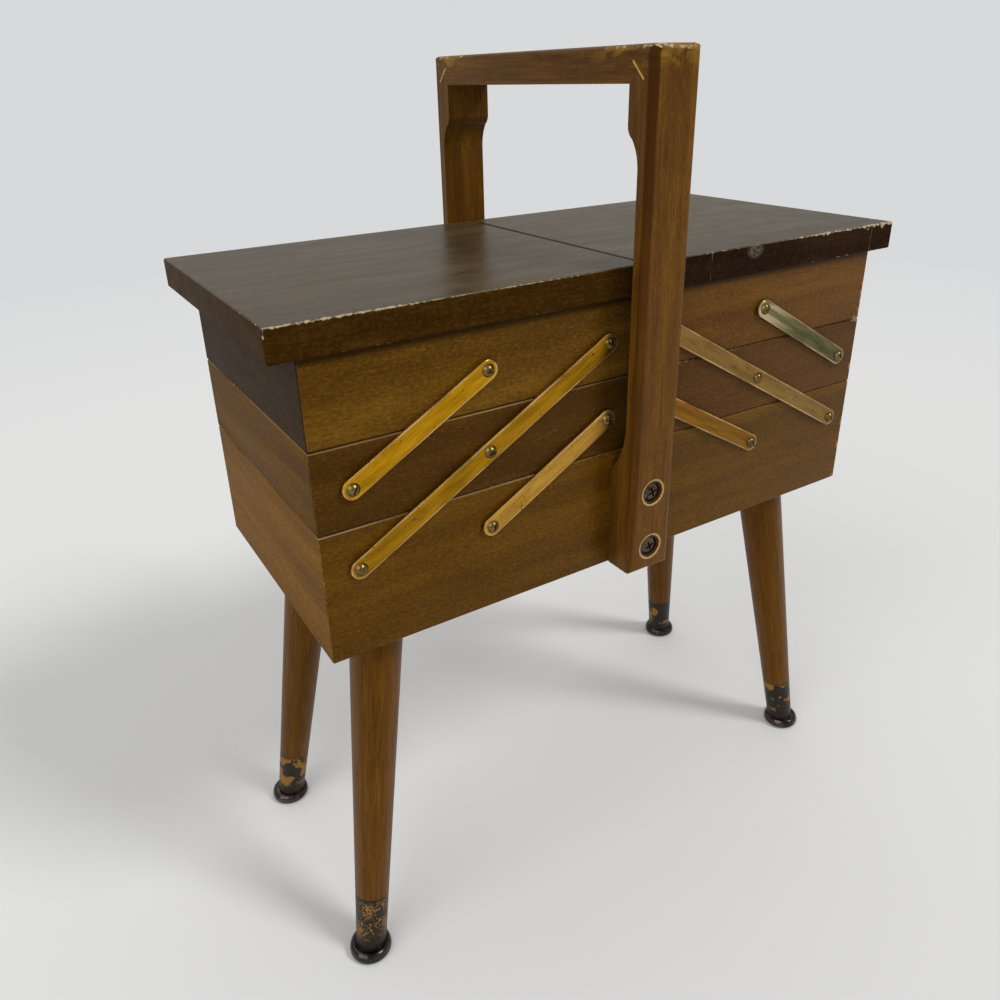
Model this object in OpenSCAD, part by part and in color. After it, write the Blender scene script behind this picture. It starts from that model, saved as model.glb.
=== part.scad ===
// Sewing carrier: a base box on four splayed legs, with two tiers of trays on each
// side that swing out on flat metal links, a lid over each top tray, and a fixed
// handle over the middle. X runs along the box, Y from front to back and Z up.
// The origin is on the floor, under the middle of the box.

/* [Box] */
// Length of the box from end to end
box_l = 440; // [420:5:480]
// Depth of the box from front to back
box_d = 198; // [190:2:220]
// Height of the lower edge of the base above the floor
box_z = 264; // [230:2:300]
// Height of the base walls
base_h = 84; // [80:1:110]
// Height of the middle trays
mid_h = 50; // [45:1:58]
// Height of the top trays
top_h = 52; // [46:1:70]
// Thickness of the walls of the base and the trays
wall_t = 9; // [8:0.5:11]
// Chamfer on the outer arrises of the walls
arris = 1; // [0.5:0.25:1.5]
// Gap between the left and right trays, and between the lids
seam_gap = 1.5; // [1:0.25:3]

/* [Bottoms] */
// Thickness of the bottom board of the base
floor_t = 10; // [9:0.5:12]
// Height of that board above the lower edge of the base walls
floor_up = 4; // [3.5:0.5:5]
// Thickness of the bottom panels of the trays
panel_t = 3; // [2.5:0.5:5]
// Height of those panels above the lower edge of the tray walls
panel_up = 3; // [2:0.5:6]
// Depth of the grooves that hold the bottoms
groove_d = 4; // [3:0.5:5]
// Gap round a bottom in its groove
groove_fit = 0.2; // [0.1:0.05:0.4]

/* [Lids] */
// Thickness of a lid
lid_t = 19; // [15:0.5:24]
// How far a lid overhangs the end of the box
lid_over_end = 15.6; // [12:0.2:20]
// How far a lid overhangs the front and the back
lid_over_front = 5.5; // [3:0.5:6.5]

/* [Lid hinges] */
// Length of a hinge
hinge_l = 40; // [30:1:60]
// Distance of a hinge from the middle of the end
hinge_y = 55; // [40:1:60]
// Thickness of a hinge leaf
leaf_t = 1; // [0.8:0.1:1.3]
// Distance of a leaf's edge from the inner face of the wall
leaf_edge = 0.5; // [0.3:0.1:1]
// Diameter of the knuckles
knuckle_d = 4; // [3.4:0.1:5]
// Diameter of the hinge pin
hinge_pin_d = 2; // [1.6:0.1:2.2]
// Gap between the knuckles and the end of the box
knuckle_gap = 0.2; // [0.1:0.1:0.5]
// Gap between neighbouring knuckles, and round the knuckles in the lid
knuckle_side = 0.3; // [0.2:0.05:0.4]
// Radial clearance of the pin in the knuckles
pin_fit = 0.05; // [0.02:0.01:0.1]

/* [Links] */
// Distance between two neighbouring pivots on a link
link_pitch = 100; // [95:1:102]
// Slope of the links when the box is shut, in degrees
link_rest = 30; // [27:0.5:33]
// Width of a link
link_w = 12.7; // [10:0.1:14]
// Thickness of a link
link_t = 2; // [1.5:0.1:2.5]
// Distance of the outer pivots from the end of the box
pivot_inset = 22; // [18:1:30]
// Radial clearance of a link on its screw
pivot_fit = 0.08; // [0.05:0.01:0.1]
// Side play of a link under its screw head
pivot_play = 0.2; // [0.1:0.05:0.4]

/* [Pivot screws] */
// Diameter of the plain shoulder that the link turns on
shoulder_d = 4; // [3.5:0.1:4.6]
// Diameter of the part in the wood
thread_d = 3.2; // [2.8:0.1:3.4]
// Length of the part in the wood
thread_l = 7; // [5:0.5:7.5]
// Diameter of its blunt point
tip_d = 0.8; // [0.5:0.1:1.2]
// Diameter of the round head
head_d = 8; // [7:0.1:9]
// Height of the round head
head_h = 2.6; // [2:0.1:3.2]
// Width of the slot in the head
slot_w = 1.1; // [0.8:0.1:1.4]
// Depth of the slot in the head
slot_depth = 1.1; // [0.8:0.1:1.4]
// Diameter of the washer between link and wood
washer_d = 10; // [9:0.5:12]
// Thickness of that washer
washer_t = 1.2; // [0.8:0.1:1.6]
// Radial gap round a screw in its pilot hole, and in a washer
screw_fit = 0.05; // [0.02:0.01:0.1]

/* [Handle] */
// Width of the posts and the rail, along the box
post_w = 34; // [28:1:36]
// Thickness of a post at its foot
post_t = 22.4; // [20.4:0.2:26]
// Height of the rail
rail_h = 19.4; // [17:0.2:20]
// Height of the handle above the lids
handle_rise = 118; // [114:1:140]
// Depth of the long hollow on the inner face of a post
relief = 12.5; // [9:0.5:14]
// Height of a post's foot against the base
foot_h = 72; // [66:1:78]
// Height of the thick block at the head of a post, with the round under it
block_h = 47.5; // [42:0.5:52]
// Radius of that round
block_round_r = 8; // [5:0.5:9]
// How far that round turns, in degrees
block_round_turn = 60; // [45:5:70]
// Radius of the cove above the foot
foot_cove_r = 50; // [30:1:60]
// Radius of the cove under the block
block_cove_r = 27.5; // [20:0.5:40]
// Radius of the long outer edges
edge_r = 4; // [2:0.5:6]
// Cut on the top corners of the handle and at the foot of a post
corner_cut = 2.5; // [1:0.5:4]
// Width of the key across each mitre
key_w = 13; // [9:0.5:15]
// Thickness of that key
key_t = 1.2; // [1:0.1:2]
// Distance of the key from the inner corner, along the mitre
key_at = 9.6; // [8:0.2:14]

/* [Handle screws] */
// Height of the lower screw above the lower edge of the base
grip_screw_z = 17.5; // [17:0.5:20]
// Distance between the two screws
grip_screw_pitch = 40.5; // [36:0.5:42]
// Diameter of the shank
grip_shank_d = 5; // [4:0.1:5.4]
// Length of the shank in the base wall
grip_bite = 7.5; // [6:0.5:7.5]
// Diameter of the head
grip_head_d = 12; // [10:0.5:12.5]
// Height of the head
grip_head_h = 3.4; // [2.8:0.1:3.8]
// Depth of the counterbore that the head sits in
counterbore = 3.8; // [3.6:0.1:5.5]
// Gap round the head in its counterbore
counterbore_gap = 0.6; // [0.3:0.1:1]
// Width of the worn bevel round the counterbore
mouth_w = 2.4; // [1.5:0.1:2.8]
// Depth of that bevel
mouth_depth = 1; // [0.6:0.1:1.6]
// Width of the cross slots in the head
cross_w = 1.5; // [1.2:0.1:2]
// Length of the cross slots in the head
cross_l = 6.4; // [5:0.2:7]
// Depth of the cross slots in the head
cross_depth = 2; // [1.5:0.1:2.4]
// Turn of the cross slots, in degrees
cross_turn = 20; // [0:5:45]

/* [Legs] */
// Distance of a leg's top from the end of the box
leg_inset_x = 45; // [44:1:60]
// Distance of a leg's top from the front or the back
leg_inset_y = 40; // [39:1:50]
// How far a foot stands out from the leg's top along the box
splay_x = 40; // [30:1:46]
// How far a foot stands out from the leg's top, front to back
splay_y = 27; // [20:1:32]
// Diameter of a leg at its top
leg_top_d = 36; // [30:0.5:38]
// Diameter that the taper comes to at the floor
leg_foot_d = 21; // [19:0.5:24]
// Height of the top of the ferrule
ferrule_z = 50; // [40:1:60]
// Wall of the ferrule
ferrule_t = 0.8; // [0.5:0.1:1.2]
// Diameter of the glide
glide_d = 30; // [28:0.5:36]
// Height of the glide
glide_h = 8; // [6:0.5:10]
// Height of the widest part of the glide
glide_rim_z = 3; // [2:0.5:4]
// How far the top of the glide stands out past the leg
glide_seat = 1.2; // [0.5:0.1:2]
// Diameter of the glide's nail
nail_d = 3; // [2.5:0.1:4]
// Length of that nail above the glide
nail_l = 20; // [14:1:30]

/* [Leg plates] */
// Side of the square plate
plate_w = 60; // [58:1:62]
// Thickness of the plate
plate_t = 2; // [1.5:0.1:2.5]
// Cut on the corners of the plate
plate_corner = 5; // [3:0.5:8]
// Height of the slanting seat under the plate, at the leg's axis
seat_h = 4; // [3.8:0.1:6]
// Diameter of that seat
seat_d = 38; // [32:0.5:40]
// Distance of the plate screws from the middle of the plate
plate_screw_at = 24; // [23.5:0.5:25]
// Diameter of the plate screws
plate_screw_d = 3.5; // [3:0.1:4]
// Length of the plate screws above the plate
plate_screw_l = 7; // [6:0.5:8]
// Diameter of the plate screws' countersunk heads
plate_head_d = 7; // [6:0.1:7.4]
// Height of those heads
plate_head_h = 1.8; // [1.2:0.1:1.9]
// Diameter of the hanger bolt
bolt_d = 8; // [6:0.5:10]
// Length of the hanger bolt in the leg
bolt_in_leg = 30; // [24:1:45]
// Length of the hanger bolt above the leg's top
bolt_above = 13; // [10:0.5:13.5]
// Radial gap round the bolt above the leg
bolt_gap = 0.5; // [0.2:0.1:0.8]

/* [Hidden] */
$fn = 96;
far = 600;
past = 1;

LEFT = -1;
RIGHT = 1;
FRONT = -1;
BACK = 1;

// Heights of the tiers
base_top = box_z + base_h;
mid_top = base_top + mid_h;
tray_top = mid_top + top_h;
lid_top = tray_top + lid_t;
tray_l = (box_l - seam_gap) / 2;

// Places of the pivots on the right-hand side, and their heights
link_dx = link_pitch * cos(link_rest);
link_dz = link_pitch * sin(link_rest);
outer_x = box_l / 2 - pivot_inset;
middle_x = outer_x - link_dx;
inner_x = middle_x - link_dx;
base_pivot_z = base_top - link_dz / 2;
mid_pivot_z = base_pivot_z + link_dz;
top_pivot_z = mid_pivot_z + link_dz;
base_pivots = [[outer_x, base_pivot_z], [middle_x, base_pivot_z]];
mid_pivots = [[outer_x, mid_pivot_z], [middle_x, mid_pivot_z], [inner_x, mid_pivot_z]];
top_pivots = [[middle_x, top_pivot_z], [inner_x, top_pivot_z]];
head_base = washer_t + link_t + pivot_play;
slot_turn = 37;

// Axis of the lid hinge, and the hinge's leaves
hinge_x = box_l / 2 + knuckle_gap + knuckle_d / 2;
leaf_in = wall_t - leaf_edge;
knuckles = 5;
knuckle_l = hinge_l / knuckles;

// Handle
handle_top = lid_top + handle_rise;
rail_under = handle_top - rail_h;
block_off = post_t - rail_h;
block_z = handle_top - block_h;
foot_z = box_z + foot_h;
foot_cove_turn = acos(1 - relief / foot_cove_r);
foot_arc_z = foot_z + foot_cove_r * sin(foot_cove_turn);
block_round_x = block_off + block_round_r * (1 - cos(block_round_turn));
block_cove_turn = acos(1 - (relief - block_round_x) / block_cove_r);
block_arc_z = block_z - block_cove_r * sin(block_cove_turn);
grip_screws = [box_z + grip_screw_z, box_z + grip_screw_z + grip_screw_pitch];
counterbore_d = grip_head_d + 2 * counterbore_gap;

// Legs
plate_z = box_z + floor_up - plate_t;
leg_top_z = plate_z - seat_h;
leg_x = box_l / 2 - leg_inset_x;
leg_y = box_d / 2 - leg_inset_y;
foot_x = leg_x + splay_x;
foot_y = leg_y + splay_y;
leg_tilt = atan(norm([splay_x, splay_y]) / leg_top_z);
leg_turn = atan2(splay_y, splay_x);
leg_len = leg_top_z / cos(leg_tilt);
ferrule_l = ferrule_z / cos(leg_tilt);

// Colours
wood = "#5f431d";
wood_end = "#66492a";
lid_wood = "#3b2c20";
leg_wood = "#5a3816";
bare_wood = "#b98f5c";
ply = "#a98455";
brass = "#b08d2e";
dark_brass = "#6d6136";
steel = "#8b8a84";
bronze = "#3a322b";

// Points of an arc, from one angle to another
function arc(cx, cy, r, a0, a1, n = 6) =
    [for (i = [0:n]) [cx + r * cos(a0 + (a1 - a0) * i / n), cy + r * sin(a0 + (a1 - a0) * i / n)]];

// A list without its first point, where that one ends the list before
function tail(points) = [for (i = [1:len(points) - 1]) points[i]];

// Puts a right-hand, back piece at the side and the face asked for
module on_side(side) {
    mirror([side == LEFT ? 1 : 0, 0, 0]) children();
}

module on_face(face) {
    mirror([0, face == BACK ? 1 : 0, 0]) children();
}

module both_faces() {
    children();
    mirror([0, 1, 0]) children();
}

// A point of the front face, with Z pointing out of it
module at_face(x, z) {
    translate([x, -box_d / 2, z]) rotate([90, 0, 0]) children();
}

// A side view drawn as distance out from the front face and height, made solid along X
module side_view(width) {
    translate([0, -box_d / 2, 0]) rotate([90, 0, -90])
        linear_extrude(width, center = true) children();
}

// A rectangle and a block with every corner eased
module eased_rect(a, b, c) {
    polygon([[c, 0], [a - c, 0], [a, c], [a, b - c], [a - c, b], [c, b], [0, b - c], [0, c]]);
}

module eased_block(lx, ly, lz, c) {
    intersection() {
        linear_extrude(lz) eased_rect(lx, ly, c);
        translate([0, ly, 0]) rotate([90, 0, 0]) linear_extrude(ly) eased_rect(lx, lz, c);
        rotate([90, 0, 90]) linear_extrude(lx) eased_rect(ly, lz, c);
    }
}

// A mitred wall board: X along it, its outer face at Y = 0, grooved for the bottom
module board(len, height, bottom_up, bottom_t) {
    groove_top = bottom_up + bottom_t + groove_fit;
    intersection() {
        linear_extrude(height) polygon([
            [arris, 0], [arris / 2, arris / 2], [wall_t, wall_t],
            [len - wall_t, wall_t], [len - arris / 2, arris / 2], [len - arris, 0]
        ]);
        rotate([90, 0, 90]) linear_extrude(len) polygon([
            [arris, 0], [wall_t, 0], [wall_t, bottom_up], [wall_t - groove_d, bottom_up],
            [wall_t - groove_d, groove_top], [wall_t, groove_top], [wall_t, height],
            [arris, height], [0, height - arris], [0, arris]
        ]);
    }
}

// The bottom of a box that spans x0 to x1, seated in the grooves
module bottom(x0, x1, z, t) {
    edge = wall_t - groove_d + groove_fit;
    translate([x0 + edge, edge - box_d / 2, z]) cube([x1 - x0 - 2 * edge, box_d - 2 * edge, t]);
}

// Pilot holes for pivot screws in a front wall
module pilot_holes(places) {
    for (p = places)
        at_face(p[0], p[1]) translate([0, 0, -thread_l - screw_fit])
            cylinder(d = thread_d + 2 * screw_fit, h = thread_l + screw_fit + past);
}

// Base box
module base_wall(face) {
    color(wood) on_face(face) difference() {
        translate([-box_l / 2, -box_d / 2, box_z]) board(box_l, base_h, floor_up, floor_t);
        for (side = [LEFT, RIGHT])
            on_side(side) pilot_holes(base_pivots);
        for (z = grip_screws)
            at_face(0, z) translate([0, 0, -grip_bite - screw_fit])
                cylinder(d = grip_shank_d + 2 * screw_fit, h = grip_bite + screw_fit + past);
    }
}

module base_end(side) {
    color(wood_end) on_side(side)
        translate([box_l / 2, -box_d / 2, box_z]) rotate([0, 0, 90])
            board(box_d, base_h, floor_up, floor_t);
}

module base_bottom() {
    color(ply) difference() {
        bottom(-box_l / 2, box_l / 2, box_z + floor_up, floor_t);
        for (i = [LEFT, RIGHT], j = [FRONT, BACK])
            on_leg_corner(i, j) {
                on_leg() translate([0, 0, leg_len])
                    cylinder(d = bolt_d + 2 * bolt_gap, h = bolt_above + bolt_gap);
                at_plate_screws() cylinder(
                    d = plate_screw_d + 2 * screw_fit, h = plate_t + plate_screw_l + screw_fit);
            }
    }
}

// Trays: each has a front, a back, two ends and a bottom
module tray_wall(side, face, z, height, places) {
    color(wood) on_side(side) on_face(face) difference() {
        translate([seam_gap / 2, -box_d / 2, z]) board(tray_l, height, panel_up, panel_t);
        pilot_holes(places);
    }
}

module tray_ends(side, z, height) {
    on_side(side) {
        translate([box_l / 2, -box_d / 2, z]) rotate([0, 0, 90])
            board(box_d, height, panel_up, panel_t);
        translate([seam_gap / 2, box_d / 2, z]) rotate([0, 0, -90])
            board(box_d, height, panel_up, panel_t);
    }
}

module middle_ends(side) {
    color(wood_end) tray_ends(side, base_top, mid_h);
}

module top_ends(side) {
    color(wood_end) difference() {
        tray_ends(side, mid_top, top_h);
        on_side(side) leaf_pockets(tray_top - leaf_t, leaf_t + past);
    }
}

module tray_bottom(side, z) {
    color(ply) on_side(side) bottom(seam_gap / 2, box_l / 2, z + panel_up, panel_t);
}

// Lids: boards that overhang the box, pocketed for their hinges
module lid(side) {
    color(lid_wood) on_side(side) difference() {
        translate([seam_gap / 2, -box_d / 2 - lid_over_front, tray_top])
            eased_block(tray_l + lid_over_end, box_d + 2 * lid_over_front, lid_t, arris);
        leaf_pockets(tray_top - past, leaf_t + past);
        at_hinges() translate([hinge_x, 0, tray_top]) rotate([90, 0, 0])
            cylinder(d = knuckle_d + 2 * knuckle_side, h = hinge_l + 2 * knuckle_side, center = true);
    }
}

// Lid hinges: butt hinges, whose pin lies just outside the end of the box
module at_hinges() {
    for (y = [-hinge_y, hinge_y])
        translate([0, y, 0]) children();
}

module leaf_pockets(z, height) {
    at_hinges() translate([box_l / 2 - leaf_in, -hinge_l / 2, z])
        cube([hinge_x - box_l / 2 + leaf_in, hinge_l, height]);
}

// Knuckles along the pin: every other one, starting with the one given
module knuckle_tubes(first) {
    for (i = [first:2:knuckles - 1])
        translate([0, (i + 0.5) * knuckle_l - hinge_l / 2, 0]) rotate([90, 0, 0])
            cylinder(d = knuckle_d, h = knuckle_l - knuckle_side, center = true);
}

// Room round the knuckles that belong to the other leaf
module knuckle_room(first) {
    for (i = [first:2:knuckles - 1])
        translate([0, (i + 0.5) * knuckle_l - hinge_l / 2, 0]) rotate([90, 0, 0])
            cylinder(d = knuckle_d + 2 * knuckle_side, h = knuckle_l + knuckle_side, center = true);
}

module hinge_leaves(side, first, z) {
    color(dark_brass) on_side(side) at_hinges() difference() {
        union() {
            difference() {
                translate([box_l / 2 - leaf_in, -hinge_l / 2, z])
                    cube([hinge_x - box_l / 2 + leaf_in, hinge_l, leaf_t]);
                translate([hinge_x, 0, tray_top]) knuckle_room(1 - first);
            }
            translate([hinge_x, 0, tray_top]) knuckle_tubes(first);
        }
        translate([hinge_x, 0, tray_top]) rotate([90, 0, 0])
            cylinder(d = hinge_pin_d + 2 * pin_fit, h = hinge_l + 2 * past, center = true);
    }
}

module hinge_pins(side) {
    color(steel) on_side(side) at_hinges()
        translate([hinge_x, 0, tray_top]) rotate([90, 0, 0])
            cylinder(d = hinge_pin_d, h = hinge_l, center = true);
}

// Links: flat strips with round ends, one on the front and one on the back
module link(pivots) {
    reach = (pivots - 1) * link_pitch;
    translate([0, 0, washer_t]) difference() {
        union() {
            translate([0, -link_w / 2, 0]) cube([reach, link_w, link_t]);
            for (x = [0, reach])
                translate([x, 0, 0]) cylinder(d = link_w, h = link_t);
        }
        for (i = [0:pivots - 1])
            translate([i * link_pitch, 0, -past])
                cylinder(d = shoulder_d + 2 * pivot_fit, h = link_t + 2 * past);
    }
}

module links(side, x, z, pivots) {
    color(brass) on_side(side) both_faces()
        at_face(x, z) rotate([0, 0, 180 - link_rest]) link(pivots);
}

// Pivot screws: a slotted round head on a plain shoulder, the rest in the wood
module pivot_screw(turn) {
    dome_r = (pow(head_d / 2, 2) + pow(head_h, 2)) / (2 * head_h);
    tip = (thread_d - tip_d) / 2;
    translate([0, 0, -thread_l]) cylinder(d1 = tip_d, d2 = thread_d, h = tip);
    translate([0, 0, tip - thread_l]) cylinder(d = thread_d, h = thread_l - tip);
    cylinder(d = shoulder_d, h = head_base);
    translate([0, 0, head_base]) difference() {
        intersection() {
            translate([0, 0, head_h - dome_r]) sphere(r = dome_r);
            cylinder(d = head_d + past, h = head_h + past);
        }
        rotate([0, 0, turn]) translate([-head_d, -slot_w / 2, head_h - slot_depth])
            cube([2 * head_d, slot_w, slot_depth + past]);
    }
}

module pivot_screws(side, places) {
    color(dark_brass) on_side(side) both_faces()
        for (i = [0:len(places) - 1])
            at_face(places[i][0], places[i][1]) pivot_screw(slot_turn * (i + places[i][1]));
}

module washers(side, places) {
    color(steel) on_side(side) both_faces()
        for (p = places)
            at_face(p[0], p[1]) difference() {
                cylinder(d = washer_d, h = washer_t);
                translate([0, 0, -past])
                    cylinder(d = shoulder_d + 2 * screw_fit, h = washer_t + 2 * past);
            }
}

// Handle: two posts and a rail, mitred and keyed at the corners
module post_outline() {
    block_round_z = block_z + block_round_r * sin(block_round_turn);
    polygon(concat(
        [
            [0, box_z], [post_t - corner_cut, box_z], [post_t, box_z + corner_cut],
            [post_t, handle_top - corner_cut], [post_t - corner_cut / 2, handle_top - corner_cut / 2],
            [block_off, rail_under]
        ],
        arc(block_off + block_round_r, block_round_z, block_round_r, 180, 180 + block_round_turn),
        tail(arc(relief - block_cove_r, block_arc_z, block_cove_r, block_cove_turn, 0, 10)),
        arc(relief - foot_cove_r, foot_arc_z, foot_cove_r, 0, -foot_cove_turn, 10)
    ));
}

// Section of a post or of the rail, its two outer corners rounded
module grip_section(thickness) {
    polygon(concat(
        [[-post_w / 2, 0], [-post_w / 2, edge_r - thickness]],
        arc(edge_r - post_w / 2, edge_r - thickness, edge_r, 180, 270),
        arc(post_w / 2 - edge_r, edge_r - thickness, edge_r, 270, 360),
        [[post_w / 2, 0]]
    ));
}

// The key across a mitre, with a gap round it for the slot
module mitre_key(gap) {
    side_view(post_w + (gap > 0 ? 2 * past : 0))
        translate([block_off + key_at * cos(45), rail_under + key_at * sin(45)]) rotate(-45)
            square([key_w + 2 * gap, key_t + 2 * gap], center = true);
}

module handle_post(face) {
    color(wood) on_face(face) difference() {
        intersection() {
            side_view(post_w) post_outline();
            translate([0, -box_d / 2, box_z]) linear_extrude(handle_top - box_z) grip_section(post_t);
        }
        mitre_key(screw_fit);
        for (z = grip_screws)
            at_face(0, z) {
                translate([0, 0, -past]) cylinder(d = grip_shank_d + 2 * screw_fit, h = post_t);
                translate([0, 0, post_t - counterbore])
                    cylinder(d = counterbore_d, h = counterbore + past);
                translate([0, 0, post_t - mouth_depth]) cylinder(
                    d1 = counterbore_d,
                    d2 = counterbore_d + 2 * mouth_w * (1 + past / mouth_depth),
                    h = mouth_depth + past
                );
            }
    }
}

module handle_rail() {
    reach = box_d / 2 + post_t;
    color(wood) difference() {
        intersection() {
            rotate([90, 0, 90]) linear_extrude(post_w, center = true) polygon([
                [corner_cut - reach, handle_top],
                [corner_cut / 2 - reach, handle_top - corner_cut / 2],
                [-box_d / 2 - block_off, rail_under], [box_d / 2 + block_off, rail_under],
                [reach - corner_cut / 2, handle_top - corner_cut / 2], [reach - corner_cut, handle_top]
            ]);
            translate([0, reach, handle_top - rail_h]) rotate([90, 0, 0])
                linear_extrude(2 * reach) mirror([0, 1]) grip_section(rail_h);
        }
        both_faces() mitre_key(screw_fit);
    }
}

module mitre_keys() {
    color(bare_wood) both_faces() mitre_key(0);
}

module handle_screw() {
    under_head = post_t - counterbore;
    translate([0, 0, -grip_bite]) cylinder(d = grip_shank_d, h = grip_bite + under_head);
    translate([0, 0, under_head]) difference() {
        intersection() {
            cylinder(d = grip_head_d, h = grip_head_h);
            translate([0, 0, grip_head_h - grip_head_d]) sphere(r = grip_head_d);
        }
        for (turn = [cross_turn, cross_turn + 90])
            rotate([0, 0, turn]) translate([-cross_l / 2, -cross_w / 2, grip_head_h - cross_depth])
                cube([cross_l, cross_w, cross_depth + past]);
    }
}

module handle_screws() {
    color(steel) both_faces()
        for (z = grip_screws)
            at_face(0, z) handle_screw();
}

// Legs: the frame's Z runs up the axis of the right-hand back leg, from the floor
module on_leg() {
    translate([foot_x, foot_y, 0]) rotate([0, -leg_tilt, leg_turn]) children();
}

module on_leg_corner(side, face) {
    mirror([side == LEFT ? 1 : 0, 0, 0]) mirror([0, face == FRONT ? 1 : 0, 0]) children();
}

module every_leg() {
    for (side = [LEFT, RIGHT], face = [FRONT, BACK])
        on_leg_corner(side, face) children();
}

// Radius of the taper at a distance up the axis
function leg_r(s) = (leg_foot_d + (leg_top_d - leg_foot_d) * s / leg_len) / 2;

module taper(s0, s1, inset) {
    translate([0, 0, s0]) cylinder(r1 = leg_r(s0) - inset, r2 = leg_r(s1) - inset, h = s1 - s0);
}

module above(z) {
    translate([-far / 2, -far / 2, z]) cube([far, far, far]);
}

module leg(side, face) {
    color(leg_wood) on_leg_corner(side, face) difference() {
        on_leg() {
            taper(0, ferrule_l, ferrule_t + screw_fit);
            taper(ferrule_l, leg_len, 0);
        }
        mirror([0, 0, 1]) above(-glide_h);
        translate([foot_x, foot_y, 0])
            cylinder(d = nail_d + 2 * screw_fit, h = glide_h + nail_l + screw_fit);
        on_leg() translate([0, 0, leg_len - bolt_in_leg - screw_fit])
            cylinder(d = bolt_d + 2 * screw_fit, h = bolt_in_leg + screw_fit + past);
    }
}

module ferrules() {
    color(bronze) every_leg() intersection() {
        on_leg() difference() {
            taper(0, ferrule_l, 0);
            taper(-past, ferrule_l + past, ferrule_t);
        }
        above(glide_h);
    }
}

// Glides: domed discs with a nail, flat on the floor
module glides() {
    seat_r = leg_foot_d / 2 + glide_seat;
    rim_r = glide_d / 2;
    color(bronze) every_leg() translate([foot_x, foot_y, 0]) {
        rotate_extrude() polygon(concat(
            [[0, 0]],
            arc(rim_r - glide_rim_z, glide_rim_z, glide_rim_z, -90, 0, 4),
            [for (a = [15:15:90]) [
                seat_r + (rim_r - seat_r) * cos(a),
                glide_rim_z + (glide_h - glide_rim_z) * sin(a)
            ]],
            [[0, glide_h]]
        ));
        cylinder(d = nail_d, h = glide_h + nail_l);
    }
}

// Leg plates: square plates with a slanting seat that the leg's top meets
module leg_plates() {
    color(steel) every_leg() difference() {
        union() {
            translate([leg_x - plate_w / 2, leg_y - plate_w / 2, plate_z]) linear_extrude(plate_t)
                eased_rect(plate_w, plate_w, plate_corner);
            difference() {
                on_leg() translate([0, 0, leg_len]) cylinder(d = seat_d, h = seat_h + seat_d);
                above(plate_z + plate_t / 2);
            }
        }
        on_leg() translate([0, 0, leg_len - past])
            cylinder(d = bolt_d + 2 * screw_fit, h = seat_h + seat_d);
        at_plate_screws() plate_screw(screw_fit);
    }
}

module at_plate_screws() {
    for (i = [-1, 1], j = [-1, 1])
        translate([leg_x + i * plate_screw_at, leg_y + j * plate_screw_at, plate_z]) children();
}

module plate_screw(gap) {
    translate([0, 0, -gap])
        cylinder(d1 = plate_head_d + 2 * gap, d2 = plate_screw_d + 2 * gap, h = plate_head_h);
    cylinder(d = plate_screw_d + 2 * gap, h = plate_t + plate_screw_l);
}

module plate_screws() {
    color(steel) every_leg() at_plate_screws() plate_screw(0);
}

module hanger_bolts() {
    color(steel) every_leg() on_leg() translate([0, 0, leg_len - bolt_in_leg])
        cylinder(d = bolt_d, h = bolt_in_leg + bolt_above);
}

base_wall(FRONT);  // base_front
base_wall(BACK);  // base_back
base_end(LEFT);  // base_end_left
base_end(RIGHT);  // base_end_right
base_bottom();
tray_wall(LEFT, FRONT, base_top, mid_h, mid_pivots);  // middle_left_front
tray_wall(LEFT, BACK, base_top, mid_h, mid_pivots);  // middle_left_back
middle_ends(LEFT);  // middle_left_ends
tray_bottom(LEFT, base_top);  // middle_left_bottom
tray_wall(RIGHT, FRONT, base_top, mid_h, mid_pivots);  // middle_right_front
tray_wall(RIGHT, BACK, base_top, mid_h, mid_pivots);  // middle_right_back
middle_ends(RIGHT);  // middle_right_ends
tray_bottom(RIGHT, base_top);  // middle_right_bottom
tray_wall(LEFT, FRONT, mid_top, top_h, top_pivots);  // top_left_front
tray_wall(LEFT, BACK, mid_top, top_h, top_pivots);  // top_left_back
top_ends(LEFT);  // top_left_ends
tray_bottom(LEFT, mid_top);  // top_left_bottom
tray_wall(RIGHT, FRONT, mid_top, top_h, top_pivots);  // top_right_front
tray_wall(RIGHT, BACK, mid_top, top_h, top_pivots);  // top_right_back
top_ends(RIGHT);  // top_right_ends
tray_bottom(RIGHT, mid_top);  // top_right_bottom
lid(LEFT);  // lid_left
lid(RIGHT);  // lid_right
hinge_leaves(LEFT, 0, tray_top - leaf_t);  // hinge_tray_leaves_left
hinge_leaves(LEFT, 1, tray_top);  // hinge_lid_leaves_left
hinge_pins(LEFT);  // hinge_pins_left
hinge_leaves(RIGHT, 0, tray_top - leaf_t);  // hinge_tray_leaves_right
hinge_leaves(RIGHT, 1, tray_top);  // hinge_lid_leaves_right
hinge_pins(RIGHT);  // hinge_pins_right
links(LEFT, outer_x, base_pivot_z, 3);  // long_links_left
links(LEFT, middle_x, base_pivot_z, 2);  // lower_links_left
links(LEFT, outer_x, mid_pivot_z, 2);  // upper_links_left
links(RIGHT, outer_x, base_pivot_z, 3);  // long_links_right
links(RIGHT, middle_x, base_pivot_z, 2);  // lower_links_right
links(RIGHT, outer_x, mid_pivot_z, 2);  // upper_links_right
union() {  // pivot_screws_base
    pivot_screws(LEFT, base_pivots);
    pivot_screws(RIGHT, base_pivots);
}
pivot_screws(LEFT, mid_pivots);  // pivot_screws_middle_left
pivot_screws(RIGHT, mid_pivots);  // pivot_screws_middle_right
pivot_screws(LEFT, top_pivots);  // pivot_screws_top_left
pivot_screws(RIGHT, top_pivots);  // pivot_screws_top_right
union() {  // washers_base
    washers(LEFT, base_pivots);
    washers(RIGHT, base_pivots);
}
washers(LEFT, mid_pivots);  // washers_middle_left
washers(RIGHT, mid_pivots);  // washers_middle_right
washers(LEFT, top_pivots);  // washers_top_left
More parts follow.
